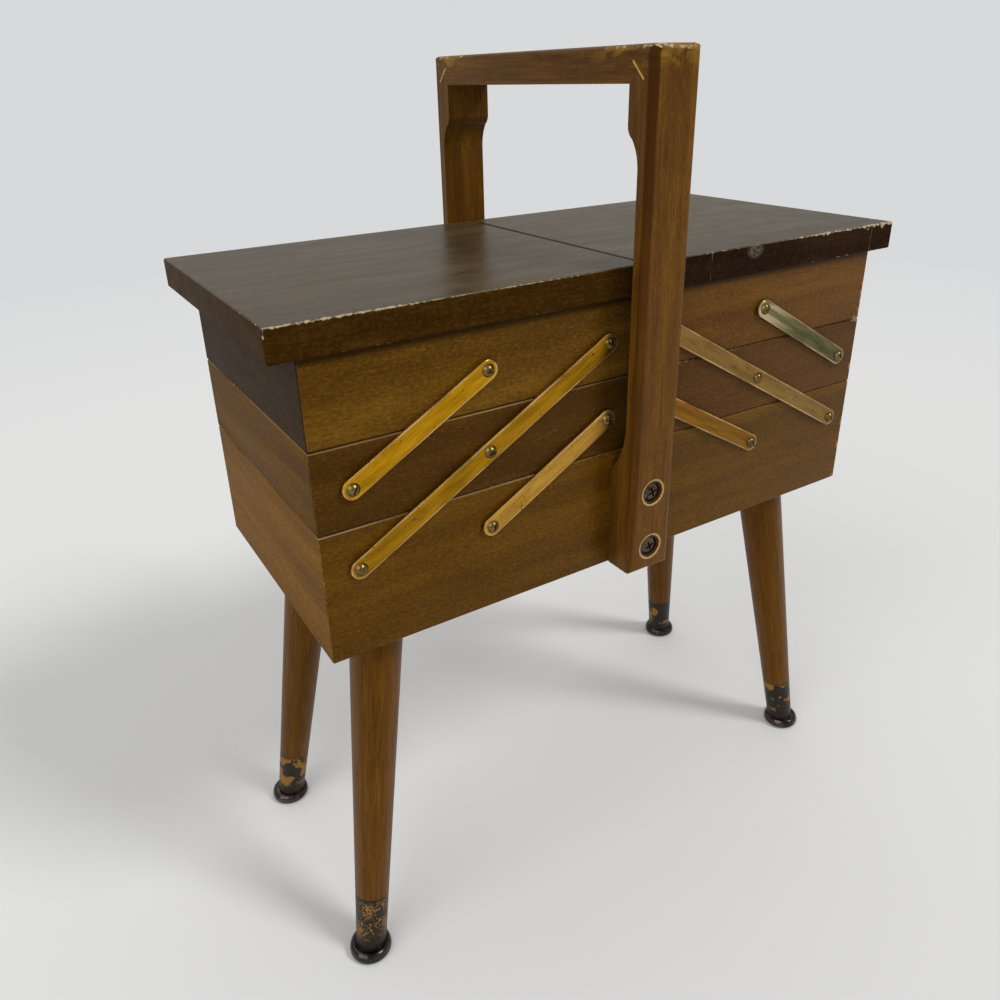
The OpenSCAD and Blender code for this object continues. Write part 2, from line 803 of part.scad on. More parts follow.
washers(RIGHT, top_pivots);  // washers_top_right
handle_post(FRONT);  // handle_post_front
handle_post(BACK);  // handle_post_back
handle_rail();
mitre_keys();
handle_screws();
leg(LEFT, FRONT);  // leg_front_left
leg(RIGHT, FRONT);  // leg_front_right
leg(LEFT, BACK);  // leg_back_left
leg(RIGHT, BACK);  // leg_back_right
ferrules();
glides();
leg_plates();
plate_screws();
hanger_bolts();
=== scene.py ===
"""The looks of a wooden sewing carrier with two lids, built round its CAD frame.

The boards, posts and legs keep their CAD meshes and get stained wood, the lids are
rebuilt with chipped edges, and the links with the soft edges of pressed strip.
"""

import math

import bmesh
import bpy
from mathutils import Matrix, Vector


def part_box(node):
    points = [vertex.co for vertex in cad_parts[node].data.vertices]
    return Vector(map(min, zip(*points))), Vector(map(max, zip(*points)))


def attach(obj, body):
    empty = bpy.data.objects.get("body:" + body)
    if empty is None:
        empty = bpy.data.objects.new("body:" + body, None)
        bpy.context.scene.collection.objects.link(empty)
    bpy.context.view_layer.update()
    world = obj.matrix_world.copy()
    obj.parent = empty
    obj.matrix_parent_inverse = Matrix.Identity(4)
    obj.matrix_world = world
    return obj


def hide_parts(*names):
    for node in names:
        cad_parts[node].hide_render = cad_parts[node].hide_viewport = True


bl_info = {
    "name": "Sewing carrier with two lids",
    "version": (1, 0, 0),
    "blender": (4, 5, 0),
    "location": "3D View > Sidebar > Carrier",
    "description": "Worn stained wood and brass for a cantilever sewing carrier",
    "category": "Object",
}

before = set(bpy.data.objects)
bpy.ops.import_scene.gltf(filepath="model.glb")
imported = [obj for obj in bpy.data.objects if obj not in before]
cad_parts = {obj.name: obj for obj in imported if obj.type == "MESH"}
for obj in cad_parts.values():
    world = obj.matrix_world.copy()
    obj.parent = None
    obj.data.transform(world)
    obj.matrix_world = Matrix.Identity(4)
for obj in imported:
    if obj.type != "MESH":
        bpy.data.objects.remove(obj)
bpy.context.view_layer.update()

SIDES = ("left", "right")
MM = 0.001
MATH = "ShaderNodeMath"
VECTOR = "ShaderNodeVectorMath"
NOISE = "ShaderNodeTexNoise"
RANGE = "ShaderNodeMapRange"
MIX = "ShaderNodeMix"
MAPPING = "ShaderNodeMapping"


def rgb(code):
    """The linear colour of an sRGB hex value."""
    parts = [int(code[i:i + 2], 16) / 255 for i in (1, 3, 5)]
    return tuple(c / 12.92 if c <= 0.04045 else ((c + 0.055) / 1.055) ** 2.4 for c in parts)


def pick(sockets, key):
    """The socket in use that has this name or number."""
    live = [s for s in sockets if s.enabled]
    return live[key] if isinstance(key, int) else next(s for s in live if s.name == key)


def feed(tree, node, inputs):
    """Links or sets inputs of a node."""
    for key, value in inputs.items():
        if isinstance(value, bpy.types.Node):
            value = pick(value.outputs, 0)
        target = pick(node.inputs, key)
        if isinstance(value, bpy.types.NodeSocket):
            tree.links.new(value, target)
        elif hasattr(value, "__len__") and target.type == "RGBA" and len(value) == 3:
            target.default_value = (*value, 1)
        else:
            target.default_value = value


def add(tree, kind, inputs=None, **settings):
    """Adds a node with its settings, and its inputs linked or set, and returns it."""
    made = tree.nodes.new(kind)
    for name, value in settings.items():
        setattr(made, name, value)
    feed(tree, made, inputs or {})
    return made


def new_material(name):
    """An empty material, its tree, its Principled BSDF and its Object coordinates."""
    material = bpy.data.materials.new(name)
    material.use_nodes = True
    tree = material.node_tree
    tree.nodes.clear()
    shader = add(tree, "ShaderNodeBsdfPrincipled")
    add(tree, "ShaderNodeOutputMaterial", {"Surface": shader})
    place = add(tree, "ShaderNodeTexCoord").outputs["Object"]
    return material, tree, shader, place


def patches(tree, place, size, detail=2.0, distortion=0.0, roughness=0.5):
    """Noise whose patches have this real size along X, Y and Z, in millimetres."""
    scaled = add(tree, MAPPING, {
        "Vector": place, "Scale": tuple(1 / (s * MM) for s in size)})
    return add(tree, NOISE, {
        "Vector": scaled, "Scale": 1.0, "Detail": detail, "Roughness": roughness,
        "Distortion": distortion})


def mask(tree, *shares):
    """How much of a layer shows: the product of its shares. A share is one made before,
    or a value with the places where it is 0 and 1, and other shares there if given."""
    product = None
    for share in shares:
        if isinstance(share, tuple):
            value, low, high, *ends = share
            start, end = ends or (0.0, 1.0)
            share = add(tree, RANGE, {
                "Value": value, "From Min": low, "From Max": high,
                "To Min": start, "To Max": end})
        if product is not None:
            share = add(tree, MATH, {0: product, 1: share}, operation="MULTIPLY")
        product = share
    return product


def layer(tree, colour, over, *shares):
    """A colour with another over it, which shows by the product of its shares."""
    return add(tree, MIX, {"Factor": mask(tree, *shares), "A": colour, "B": over},
               data_type="RGBA")


def box_distances(tree, place, low, high):
    """Distance of a point inside a box from its nearest face, from its nearest edge and
    from its nearest upright face."""
    up = add(tree, VECTOR, {0: place, 1: low}, operation="SUBTRACT")
    down = add(tree, VECTOR, {0: high, 1: place}, operation="SUBTRACT")
    nearest = add(tree, VECTOR, {0: up, 1: down}, operation="MINIMUM")
    x, y, z = add(tree, "ShaderNodeSeparateXYZ", {0: nearest}).outputs
    wall = add(tree, MATH, {0: x, 1: y}, operation="MINIMUM")
    other = add(tree, MATH, {0: x, 1: y}, operation="MAXIMUM")
    face = add(tree, MATH, {0: wall, 1: z}, operation="MINIMUM")
    other = add(tree, MATH, {0: other, 1: z}, operation="MINIMUM")
    edge = add(tree, MATH, {0: wall, 1: other}, operation="MAXIMUM")
    return face, edge, wall


def along(grain, length, width):
    """The size of a patch that is long along the grain, which is 0, 1 or 2."""
    return [length if axis == grain else width for axis in range(3)]


def union_box(names):
    """The box round several CAD nodes."""
    boxes = [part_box(name) for name in names]
    return (Vector(min(b[0][i] for b in boxes) for i in range(3)),
            Vector(max(b[1][i] for b in boxes) for i in range(3)))


def dress(names, material):
    """Gives CAD nodes a material."""
    for name in names:
        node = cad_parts[name]
        if not node.material_slots:
            node.data.materials.append(material)
        for slot in node.material_slots:
            slot.material = material


# Stained and lacquered wood

# The figure of beech, as length along the grain and width across it in millimetres.
# Real fibres are finer than 0.1 mm and real pores 1 mm long: both are drawn coarser, so
# that they show.
CLOUDS = (45, 13)
FIBRES = (40, 0.9)
FLECKS = (2.8, 1.3)
PORES = (7, 0.8)


def figure(tree, place, colours, grain, band, shares=(0.3, 0.2, 0.15, 0.35)):
    """The figure of stained beech, its grain along axis 0, 1 or 2: soft bands, clouds in
    the stain, fine fibres, golden flecks and short dark pores. Returns its colour, and
    the clouds, fibres and pores that its polish follows."""
    dark, middle, light = (rgb(c) for c in colours)
    bands = patches(tree, place, along(grain, *band), 3, 0.6)
    clouds = patches(tree, place, along(grain, *CLOUDS), 4, 0.4, 0.6)
    fibres = patches(tree, place, along(grain, *FIBRES), 3, 0.0, 0.65)
    flecks = patches(tree, place, along(grain, *FLECKS), 3, 0.3, 0.65)
    pores = patches(tree, place, along(grain, *PORES), 1)
    tone = add(tree, MATH, {0: bands, 1: shares[0]}, operation="MULTIPLY")
    for part, share in zip((clouds, fibres, flecks), shares[1:]):
        tone = add(tree, MATH, {0: part, 1: share, 2: tone}, operation="MULTIPLY_ADD")
    colour = layer(tree, dark, middle, (tone, 0.37, 0.5))
    colour = layer(tree, colour, light, (tone, 0.5, 0.63))
    colour = layer(tree, colour, light, (flecks, 0.55, 0.7, 0.0, 1.2 * shares[3]))
    pore = mask(tree, (pores, 0.62, 0.76, 0.0, 0.4))
    return layer(tree, colour, dark, pore), (clouds, fibres, pore)


AMBER = rgb("#d9a35a")


def polish(tree, shader, colour, pattern, worn=None, rough=0.4, shine=0.25):
    """Aged shellac over a figure: a satin gloss, amber where light falls straight on it,
    and duller in the pores and where it is worn away."""
    clouds, fibres, pore = pattern
    gloss = mask(tree, (clouds, 0.3, 0.7, rough - 0.05, rough + 0.07))
    gloss = add(tree, MATH, {0: pore, 1: 0.35, 2: gloss}, operation="MULTIPLY_ADD")
    if worn:
        gloss = add(tree, MATH, {0: worn, 1: 0.22, 2: gloss}, operation="MULTIPLY_ADD")
    relief = add(tree, MATH, {0: pore, 1: -1.4, 2: fibres}, operation="MULTIPLY_ADD")
    lifted = add(tree, "ShaderNodeBump", {
        "Strength": 0.25, "Distance": 0.12 * MM, "Height": relief})
    feed(tree, shader, {
        "Base Color": colour, "Roughness": gloss, "Normal": lifted,
        "Specular IOR Level": shine, "Specular Tint": AMBER})


def rubbed(tree, place, edge, depth, extra=None):
    """Mask of the ragged strip along the edges where the stain is rubbed through, at
    most depth millimetres wide, and wider by the extra width given."""
    grit = patches(tree, place, (3, 3, 3), 5, 0.0, 0.7)
    spread = patches(tree, place, (60, 60, 60), 2)
    reach = mask(tree, (grit, 0.4, 0.72, 0.0, depth * MM), (spread, 0.42, 0.64, 0.1, 1.2))
    if extra:
        ragged = mask(tree, (grit, 0.36, 0.66, 0.3, 1.0))
        reach = add(tree, MATH, {0: extra, 1: ragged, 2: reach}, operation="MULTIPLY_ADD")
    gap = add(tree, MATH, {0: edge, 1: reach}, operation="SUBTRACT")
    return mask(tree, (gap, 0.3 * MM, -0.2 * MM))


def wall_wood(name, colours, grain, box, looks, shine=0.2, lid_shade=0.0, knocks=0.0,
              seam=True):
    """Stained beech walls: dark and satin outside, paler and dull inside, where polish
    never reached. Painted shade lines the seam with the wall below, and a band of painted
    shade, as many millimetres wide as given, lies below a lid whose overhang shades it.
    Without a lid a painted highlight runs along the upper edge. The stain is worn through
    along the outer edges, up to knocks millimetres at the right front."""
    low, high = box
    material, tree, shader, place = new_material(name)
    x, y, z = add(tree, "ShaderNodeSeparateXYZ", {0: place}).outputs
    colour, pattern = figure(tree, place, colours, grain, (420, 26))
    _, edge, wall = box_distances(tree, place, low, high)
    # The stain ends between these distances from the outer faces.
    stained, bare = 5 * MM, 7 * MM
    colour = layer(tree, colour, rgb("#755228"), (wall, stained, bare))
    outside = mask(tree, (wall, 0.9 * MM, 0.5 * MM))
    # Painted shade: a dark band on the outer face below a lid, where its overhang shades the
    # wall.
    if lid_shade:
        colour = layer(
            tree, colour, rgb("#170d05"), outside,
            (z, high.z - 1.3 * lid_shade * MM, high.z - 0.6 * lid_shade * MM, 0.0, 0.8))
    # Painted shade: a dark line along the foot of the outer face, where the seam with the wall
    # below lies in shade.
    if seam:
        colour = layer(tree, colour, rgb("#0f0803"), outside,
                       (z, low.z + 1.6 * MM, low.z + 0.9 * MM, 0.0, 0.9))
    if not lid_shade:
        # A painted highlight along the upper edge, where light catches the rounded arris,
        # stronger on the left-hand half of the front.
        painted_glint = patches(tree, place, (70, 70, 2), 3)
        colour = layer(tree, colour, rgb("#a08a66"), outside,
                       (painted_glint, 0.38, 0.58, 0.05, 0.7), (x, 0.0, -60 * MM, 0.15, 1.0),
                       (z, high.z - 1.0 * MM, high.z - 0.6 * MM))
    # Knocks on the upright edge at the right front, lump by lump
    lumps = patches(tree, place, (6, 6, 9), 2)
    extra = mask(tree, (x, high.x - 8 * MM, high.x - 6 * MM, 0.0, knocks * MM),
                 (y, low.y + 3 * MM, low.y + 2 * MM), (lumps, 0.52, 0.6))
    worn = rubbed(tree, place, edge, 2.2 * looks.wear, extra)
    colour = layer(tree, colour, rgb("#93704c"), worn)
    polish(tree, shader, colour, pattern, worn, shine=shine)
    return material


def turned_wood(name, colours, place_change):
    """Turned and stained beech: even and brown, its fine fibres running up the leg."""
    material, tree, shader, place = new_material(name)
    colour, pattern = figure(tree, place_change(tree, place), colours, 2, (240, 5),
                             (0.22, 0.12, 0.5, 0.16))
    polish(tree, shader, colour, pattern, rough=0.36)
    return material


def plain_wood(name, colours, grain):
    """Bare wood of a key across a mitre: pale, fine and dull."""
    material, tree, shader, place = new_material(name)
    colour, pattern = figure(tree, place, colours, grain, (200, 8))
    polish(tree, shader, colour, pattern, rough=0.5)
    return material


def plywood():
    """Rotary-cut birch plywood, bare: pale, with long faint waves of figure."""
    material, tree, shader, place = new_material("Birch plywood")
    waves = patches(tree, place, (150, 22, 22), 4, 1.2)
    fibres = patches(tree, place, (30, 1.1, 1.1), 3)
    tone = add(tree, MATH, {0: waves, 1: 0.6}, operation="MULTIPLY")
    tone = add(tree, MATH, {0: fibres, 1: 0.4, 2: tone}, operation="MULTIPLY_ADD")
    colour = layer(tree, rgb("#8f6c41"), rgb("#c09a68"), (tone, 0.38, 0.62))
    bumped = add(tree, "ShaderNodeBump", {
        "Strength": 0.2, "Distance": 0.1 * MM, "Height": fibres})
    feed(tree, shader, {"Base Color": colour, "Roughness": 0.62, "Normal": bumped})
    return material


def lid_veneer(side, box, looks):
    """Dark stained veneer: satin on top with a few pale specks, duller round the rim,
    where upright saw marks show, and bare where chips are out of its upper edges."""
    low, high = box
    material, tree, shader, place = new_material(f"Stained walnut veneer, {side} lid")
    x, y, z = add(tree, "ShaderNodeSeparateXYZ", {0: place}).outputs
    face, edge, _ = box_distances(tree, place, low, high)
    bare = tuple(looks.bare_wood)
    top, pattern = figure(tree, place, LID, 0, (300, 22))
    rim = figure(tree, place, LID_RIMS[side], 0, (200, 16))[0]
    # Real saw marks are about 0.3 mm apart, and are drawn coarser so that they show.
    marks = patches(tree, place, (0.8, 0.8, 16), 3, 0.0, 0.6)
    rim = layer(tree, rim, rgb(LID_RIMS[side][0]), (marks, 0.45, 0.65, 0.0, 0.4))
    under = mask(tree, (z, high.z - 0.3 * MM, high.z - 0.9 * MM))
    colour = layer(tree, top, rim, under)

    # Two cells in five hold a pale speck.
    cell = 17 * MM
    largest_speck = 0.595 * MM
    spots = add(tree, "ShaderNodeTexVoronoi", {
        "Vector": place, "Scale": 1 / cell, "Randomness": 1.0})
    few = add(tree, "ShaderNodeSeparateColor", {0: spots.outputs["Color"]})
    size = mask(tree, (few, 0.6, 1.0, 0.0, largest_speck / cell))
    speck = add(tree, MATH, {0: spots.outputs["Distance"], 1: size}, operation="LESS_THAN")
    colour = layer(tree, colour, bare, speck, 0.5)
    outer, inward = (low.x, 1) if side == "left" else (high.x, -1)
    for reach in LIPPING_AT[side]:
        colour = lipping_joint(tree, place, x, y, colour, outer + inward * reach * MM, low.y)
    for aside, down, width, height in SCUFFS[side]:
        spot = (aside * MM, low.y, high.z - down * MM)
        colour = scuff(tree, place, colour, spot, width, height)

    # Hands and scissors land on the front edge, most of all by the outer corners.
    wear = mask(tree, (y, low.y + 4 * MM, low.y + 2 * MM),
                (z, high.z - 4 * MM, high.z - 2 * MM), (x, low.x, high.x, *FRONT_WEAR[side]))
    away = add(tree, VECTOR, {0: place, 1: Vector((outer, low.y, high.z))},
               operation="DISTANCE").outputs["Value"]
    reach, width = CORNER_WEAR[side]
    lumps = patches(tree, place, (5, 5, 5), 2)
    knock = mask(tree, (away, reach * MM, 3 * MM, 0.0, width * MM), (lumps, 0.54, 0.6),
                 (z, high.z - 10 * MM, high.z - 6 * MM, 0.35, 1.0))
    extra = add(tree, MATH, {0: wear, 1: knock}, operation="MAXIMUM")
    # The edges that meet at the seam in the middle are hidden from wear.
    middle = add(tree, MATH, {0: x}, operation="ABSOLUTE")
    worn = mask(tree, rubbed(tree, place, edge, 1.4 * looks.wear, extra),
                (middle, 3 * MM, 5 * MM))
    # Wood that lies below the faces and the small chamfer has been knocked out.
    chamfer = 1 * MM
    sunk = add(tree, MATH, {0: face, 1: edge}, operation="ADD")
    sunk = add(tree, MATH, {0: sunk, 1: chamfer}, operation="SUBTRACT")
    sunk = add(tree, MATH, {0: sunk, 1: face}, operation="MINIMUM")
    broken = mask(tree, (sunk, 0.06 * MM, 0.16 * MM))
    worn = add(tree, MATH, {0: worn, 1: broken}, operation="MAXIMUM")
    colour = layer(tree, colour, bare, worn)
    polish(tree, shader, colour, pattern, worn, rough=0.32)
    shine = mask(tree, (under, 0.0, 1.0, 0.6, 0.005))
    tint = layer(tree, rgb("#e2ebd7"), AMBER, under)
    feed(tree, shader, {"Specular IOR Level": shine, "Specular Tint": tint})
    return material


def lipping_joint(tree, place, x, y, colour, at, front):
    """A pale broken hairline up the front of a lid, where its lipping is joined."""
    gap = add(tree, MATH, {0: x, 1: at}, operation="SUBTRACT")
    gap = add(tree, MATH, {0: gap}, operation="ABSOLUTE")
    grit = patches(tree, place, (2, 2, 7), 3)
    return layer(tree, colour, rgb("#8f795c"), (gap, 0.55 * MM, 0.2 * MM),
                 (grit, 0.46, 0.64, 0.0, 0.4), (y, front + 0.4 * MM, front + 0.2 * MM))


def scuff(tree, place, colour, spot, width, height):
    """A grey smear on the front of a lid, where its polish was scraped, with its width
    and height in millimetres."""
    away = add(tree, VECTOR, {0: place, 1: spot}, operation="SUBTRACT")
    away = add(tree, VECTOR, {
        0: away, 1: (1 / (width * MM), 1 / (height * MM), 1 / (height * MM))},
        operation="MULTIPLY")
    away = add(tree, VECTOR, {0: away}, operation="LENGTH").outputs["Value"]
    grit = patches(tree, place, (2.4, 2, 1.2), 3, 0.0, 0.65)
    away = add(tree, MATH, {0: grit, 1: 0.4, 2: away}, operation="MULTIPLY_ADD")
    return layer(tree, colour, rgb("#8f8578"), (away, 0.85, 0.6),
                 (grit, 0.38, 0.58, 0.04, 0.4))


def handle_wood(name, grain, box, screw_heights, looks):
    """Stained beech of the handle: gold where hands rub its head, painted shade in the
    left-hand outer rounding, painted light on the flat top, and bare rings round the sunk
    screws, with painted shade at their inner edge."""
    low, high = box
    material, tree, shader, place = new_material(name)
    x, y, z = add(tree, "ShaderNodeSeparateXYZ", {0: place}).outputs
    outward = add(tree, MATH, {0: y}, operation="ABSOLUTE")
    edge = box_distances(tree, place, low, high)[1]
    colour, pattern = figure(tree, place, HANDLE, grain, (260, 9), (0.3, 0.2, 0.33, 0.17))

    # Hands rub gold blotches on the top near the corners.
    corner = mask(tree, (outward, high.y - 60 * MM, high.y - 20 * MM, 0.1, 1.0))
    blotches = patches(tree, place, (15, 20, 7), 4, 0.8)
    colour = layer(tree, colour, rgb("#8f6b26"), (z, high.z - 13 * MM, high.z - 5 * MM),
                   (blotches, 0.44, 0.6, 0.0, 0.8), corner)
    # Painted shade: a dark stripe in the left-hand outer rounding, which faces away from the
    # light, stronger further up
    colour = layer(tree, colour, rgb("#361b08"),
                   (outward, high.y - 5.2 * MM, high.y - 4 * MM),
                   (x, low.x + 4.8 * MM, low.x + 3.4 * MM), (z, low.z, high.z, 0.15, 0.9))

    # The bevels round the counterbores are bare, with painted shade at their inner edge, where
    # the bore lies in shade.
    bevel = (10.3 * MM, 9.9 * MM)
    bore = (9.0 * MM, 8.6 * MM)
    grit = patches(tree, place, (1.6, 1.6, 1.6), 3)
    sides = mask(tree, (outward, high.y - 6 * MM, high.y - 5 * MM))
    for height in screw_heights:
        up = add(tree, MATH, {0: z, 1: height}, operation="SUBTRACT")
        flat = add(tree, "ShaderNodeCombineXYZ", {"X": x, "Y": up})
        reach = add(tree, VECTOR, {0: flat}, operation="LENGTH").outputs["Value"]
        reach = add(tree, MATH, {0: grit, 1: 1.2 * MM, 2: reach}, operation="MULTIPLY_ADD")
        ring = mask(tree, (reach, *bevel), sides)
        colour = layer(tree, colour, rgb("#b08f62"), ring)
        colour = layer(tree, colour, rgb("#352110"), (reach, *bore), ring)

    # The flat top is painted lighter, as light falling on it from above.
    colour = layer(tree, colour, rgb("#7a5f3c"),
                   (z, high.z - 1.4 * MM, high.z - 0.4 * MM, 0.0, 0.4))
    lumps = patches(tree, place, (5, 5, 5), 2)
    extra = mask(tree, (z, high.z - 7 * MM, high.z - 3 * MM),
                 (lumps, 0.47, 0.6, 0.0, 3.2 * MM), corner)
    worn = rubbed(tree, place, edge, 2 * looks.wear, extra)
    colour = layer(tree, colour, tuple(looks.bare_wood), worn)
    polish(tree, shader, colour, pattern, worn)
    return material


# Metal

def metal(name, colours, rough, spots=None, spot_size=2.4, spot_cut=0.62,
          turn=None, metallic=1.0, only=None, fine_share=None, strip=None, highlight_streak=False):
    """A metal whose tone and gloss vary a little, with tarnish or paint in patches. Turn
    is the slope of a strip that is scratched lengthwise, and strip the turned place of
    its outer pivot, the way to its inner pivot and half its width, for a painted highlight
    along its edges and, where asked, a painted highlight streaked out from its inner
    pivot. Only says where spots lie, and fine_share how small they are."""
    first, second = (rgb(c) for c in colours)
    material, tree, shader, place = new_material(name)
    if turn is not None:
        place = add(tree, MAPPING, {"Vector": place, "Rotation": (0, turn, 0)}).outputs[0]
    clouds = patches(tree, place, (9, 9, 9) if turn is None else (28, 4, 4), 4, 0.4, 0.6)
    colour = layer(tree, first, second, (clouds, 0.38, 0.62))
    if strip:
        pivot, span, half = strip
        x, _, z = add(tree, "ShaderNodeSeparateXYZ", {0: place}).outputs
        away = add(tree, MATH, {0: x, 1: pivot.x + span / 2}, operation="SUBTRACT")
        past = add(tree, MATH, {0: away}, operation="ABSOLUTE")
        past = add(tree, MATH, {0: past, 1: abs(span) / 2}, operation="SUBTRACT")
        past = add(tree, MATH, {0: past, 1: 0.0}, operation="MAXIMUM")
        aside = add(tree, MATH, {0: z, 1: pivot.z}, operation="SUBTRACT")
        flat = add(tree, "ShaderNodeCombineXYZ", {"X": past, "Y": aside})
        reach = add(tree, VECTOR, {0: flat}, operation="LENGTH").outputs["Value"]
        # A painted highlight along both long edges, where light catches their rounded rims.
        rim_highlight_breaks = patches(tree, place, (25, 6, 6), 3)
        colour = layer(tree, colour, rgb("#efcb91"), (reach, half - 1.3 * MM, half - 0.8 * MM),
                       (rim_highlight_breaks, 0.4, 0.6, 0.1, 0.55))
    # A painted highlight, strongest by the inner pivot, as a reflection along the strip.
    if highlight_streak:
        toward = add(tree, MATH, {0: away, 1: 2 / span}, operation="MULTIPLY")
        lines = patches(tree, place, (30, 2.4, 2.4), 2)
        colour = layer(tree, colour, rgb("#c9b68a"), (toward, 0.2, 0.9),
                       (lines, 0.42, 0.58, 0.15, 0.9))
    gloss = mask(tree, (clouds, 0.3, 0.7, rough - 0.07, rough + 0.09))
    if turn is not None:
        # Real scratches are hair-fine, and are drawn coarser so that they show.
        lines = patches(tree, place, (26, 0.5, 0.5), 2, 0.0, 0.6)
        colour = layer(tree, colour, tuple(min(1, c * 1.7) for c in second),
                       (lines, 0.56, 0.7, 0.0, 0.22))
    if spots:
        fine = patches(tree, place, (spot_size,) * 3, 4, 0.5, 0.6)
        broad = patches(tree, place, (spot_size * 7,) * 3, 2)
        share = fine_share(tree, place) if fine_share else 0.65
        both = add(tree, MIX, {"Factor": share, "A": broad, "B": fine})
        spot = mask(tree, (both, spot_cut, spot_cut + 0.03))
        if only:
            spot = mask(tree, spot, only(tree, place))
        colour = layer(tree, colour, rgb(spots), spot)
        gloss = add(tree, MATH, {0: spot, 1: 0.2, 2: gloss}, operation="MULTIPLY_ADD")
    rub = patches(tree, place, (0.8, 0.8, 0.8), 2)
    bumped = add(tree, "ShaderNodeBump", {
        "Strength": 0.12, "Distance": 0.05 * MM, "Height": rub})
    feed(tree, shader, {
        "Base Color": colour, "Metallic": metallic, "Roughness": gloss, "Normal": bumped})
    return material


# Meshes

def merged_copy(node, name):
    """A copy of a CAD node's mesh, its triangles joined into flat faces again."""
    made = bmesh.new()
    made.from_mesh(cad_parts[node].data)
    bmesh.ops.remove_doubles(made, verts=made.verts, dist=0.01 * MM)
    bmesh.ops.dissolve_limit(made, angle_limit=math.radians(1), verts=made.verts,
                             edges=made.edges)
    mesh = bpy.data.meshes.new(name)
    made.to_mesh(mesh)
    made.free()
    piece = bpy.data.objects.new(name, mesh)
    bpy.context.scene.collection.objects.link(piece)
    return piece


def input_of(tree, name):
    """The identifier of a tree's named input."""
    return next(i.identifier for i in tree.interface.items_tree
                if i.item_type == "SOCKET" and i.in_out == "INPUT" and i.name == name)


def new_tree(name, sockets):
    """A Geometry Nodes tree with its named inputs, and its group input."""
    tree = bpy.data.node_groups.new(name, "GeometryNodeTree")
    tree.interface.new_socket("Geometry", in_out="INPUT", socket_type="NodeSocketGeometry")
    tree.interface.new_socket("Geometry", in_out="OUTPUT", socket_type="NodeSocketGeometry")
    for label, (kind, value) in sockets.items():
        made = tree.interface.new_socket(label, in_out="INPUT", socket_type="NodeSocket" + kind)
        made.default_value = value
    return tree, add(tree, "NodeGroupInput")


def bake(piece, tree, material, **values):
    """Runs a tree on a piece, and leaves a plain mesh of what it makes."""
    modifier = piece.modifiers.new("Made", "NODES")
    modifier.node_group = tree
    for label, value in values.items():
        modifier[input_of(tree, label.replace("_", " "))] = value
    modifier[input_of(tree, "Material")] = material
    graph = bpy.context.evaluated_depsgraph_get()
    mesh = bpy.data.meshes.new_from_object(piece.evaluated_get(graph), depsgraph=graph)
    piece.modifiers.clear()
    piece.data = mesh
    if not mesh.polygons:
        raise RuntimeError(f"{piece.name} came out empty")


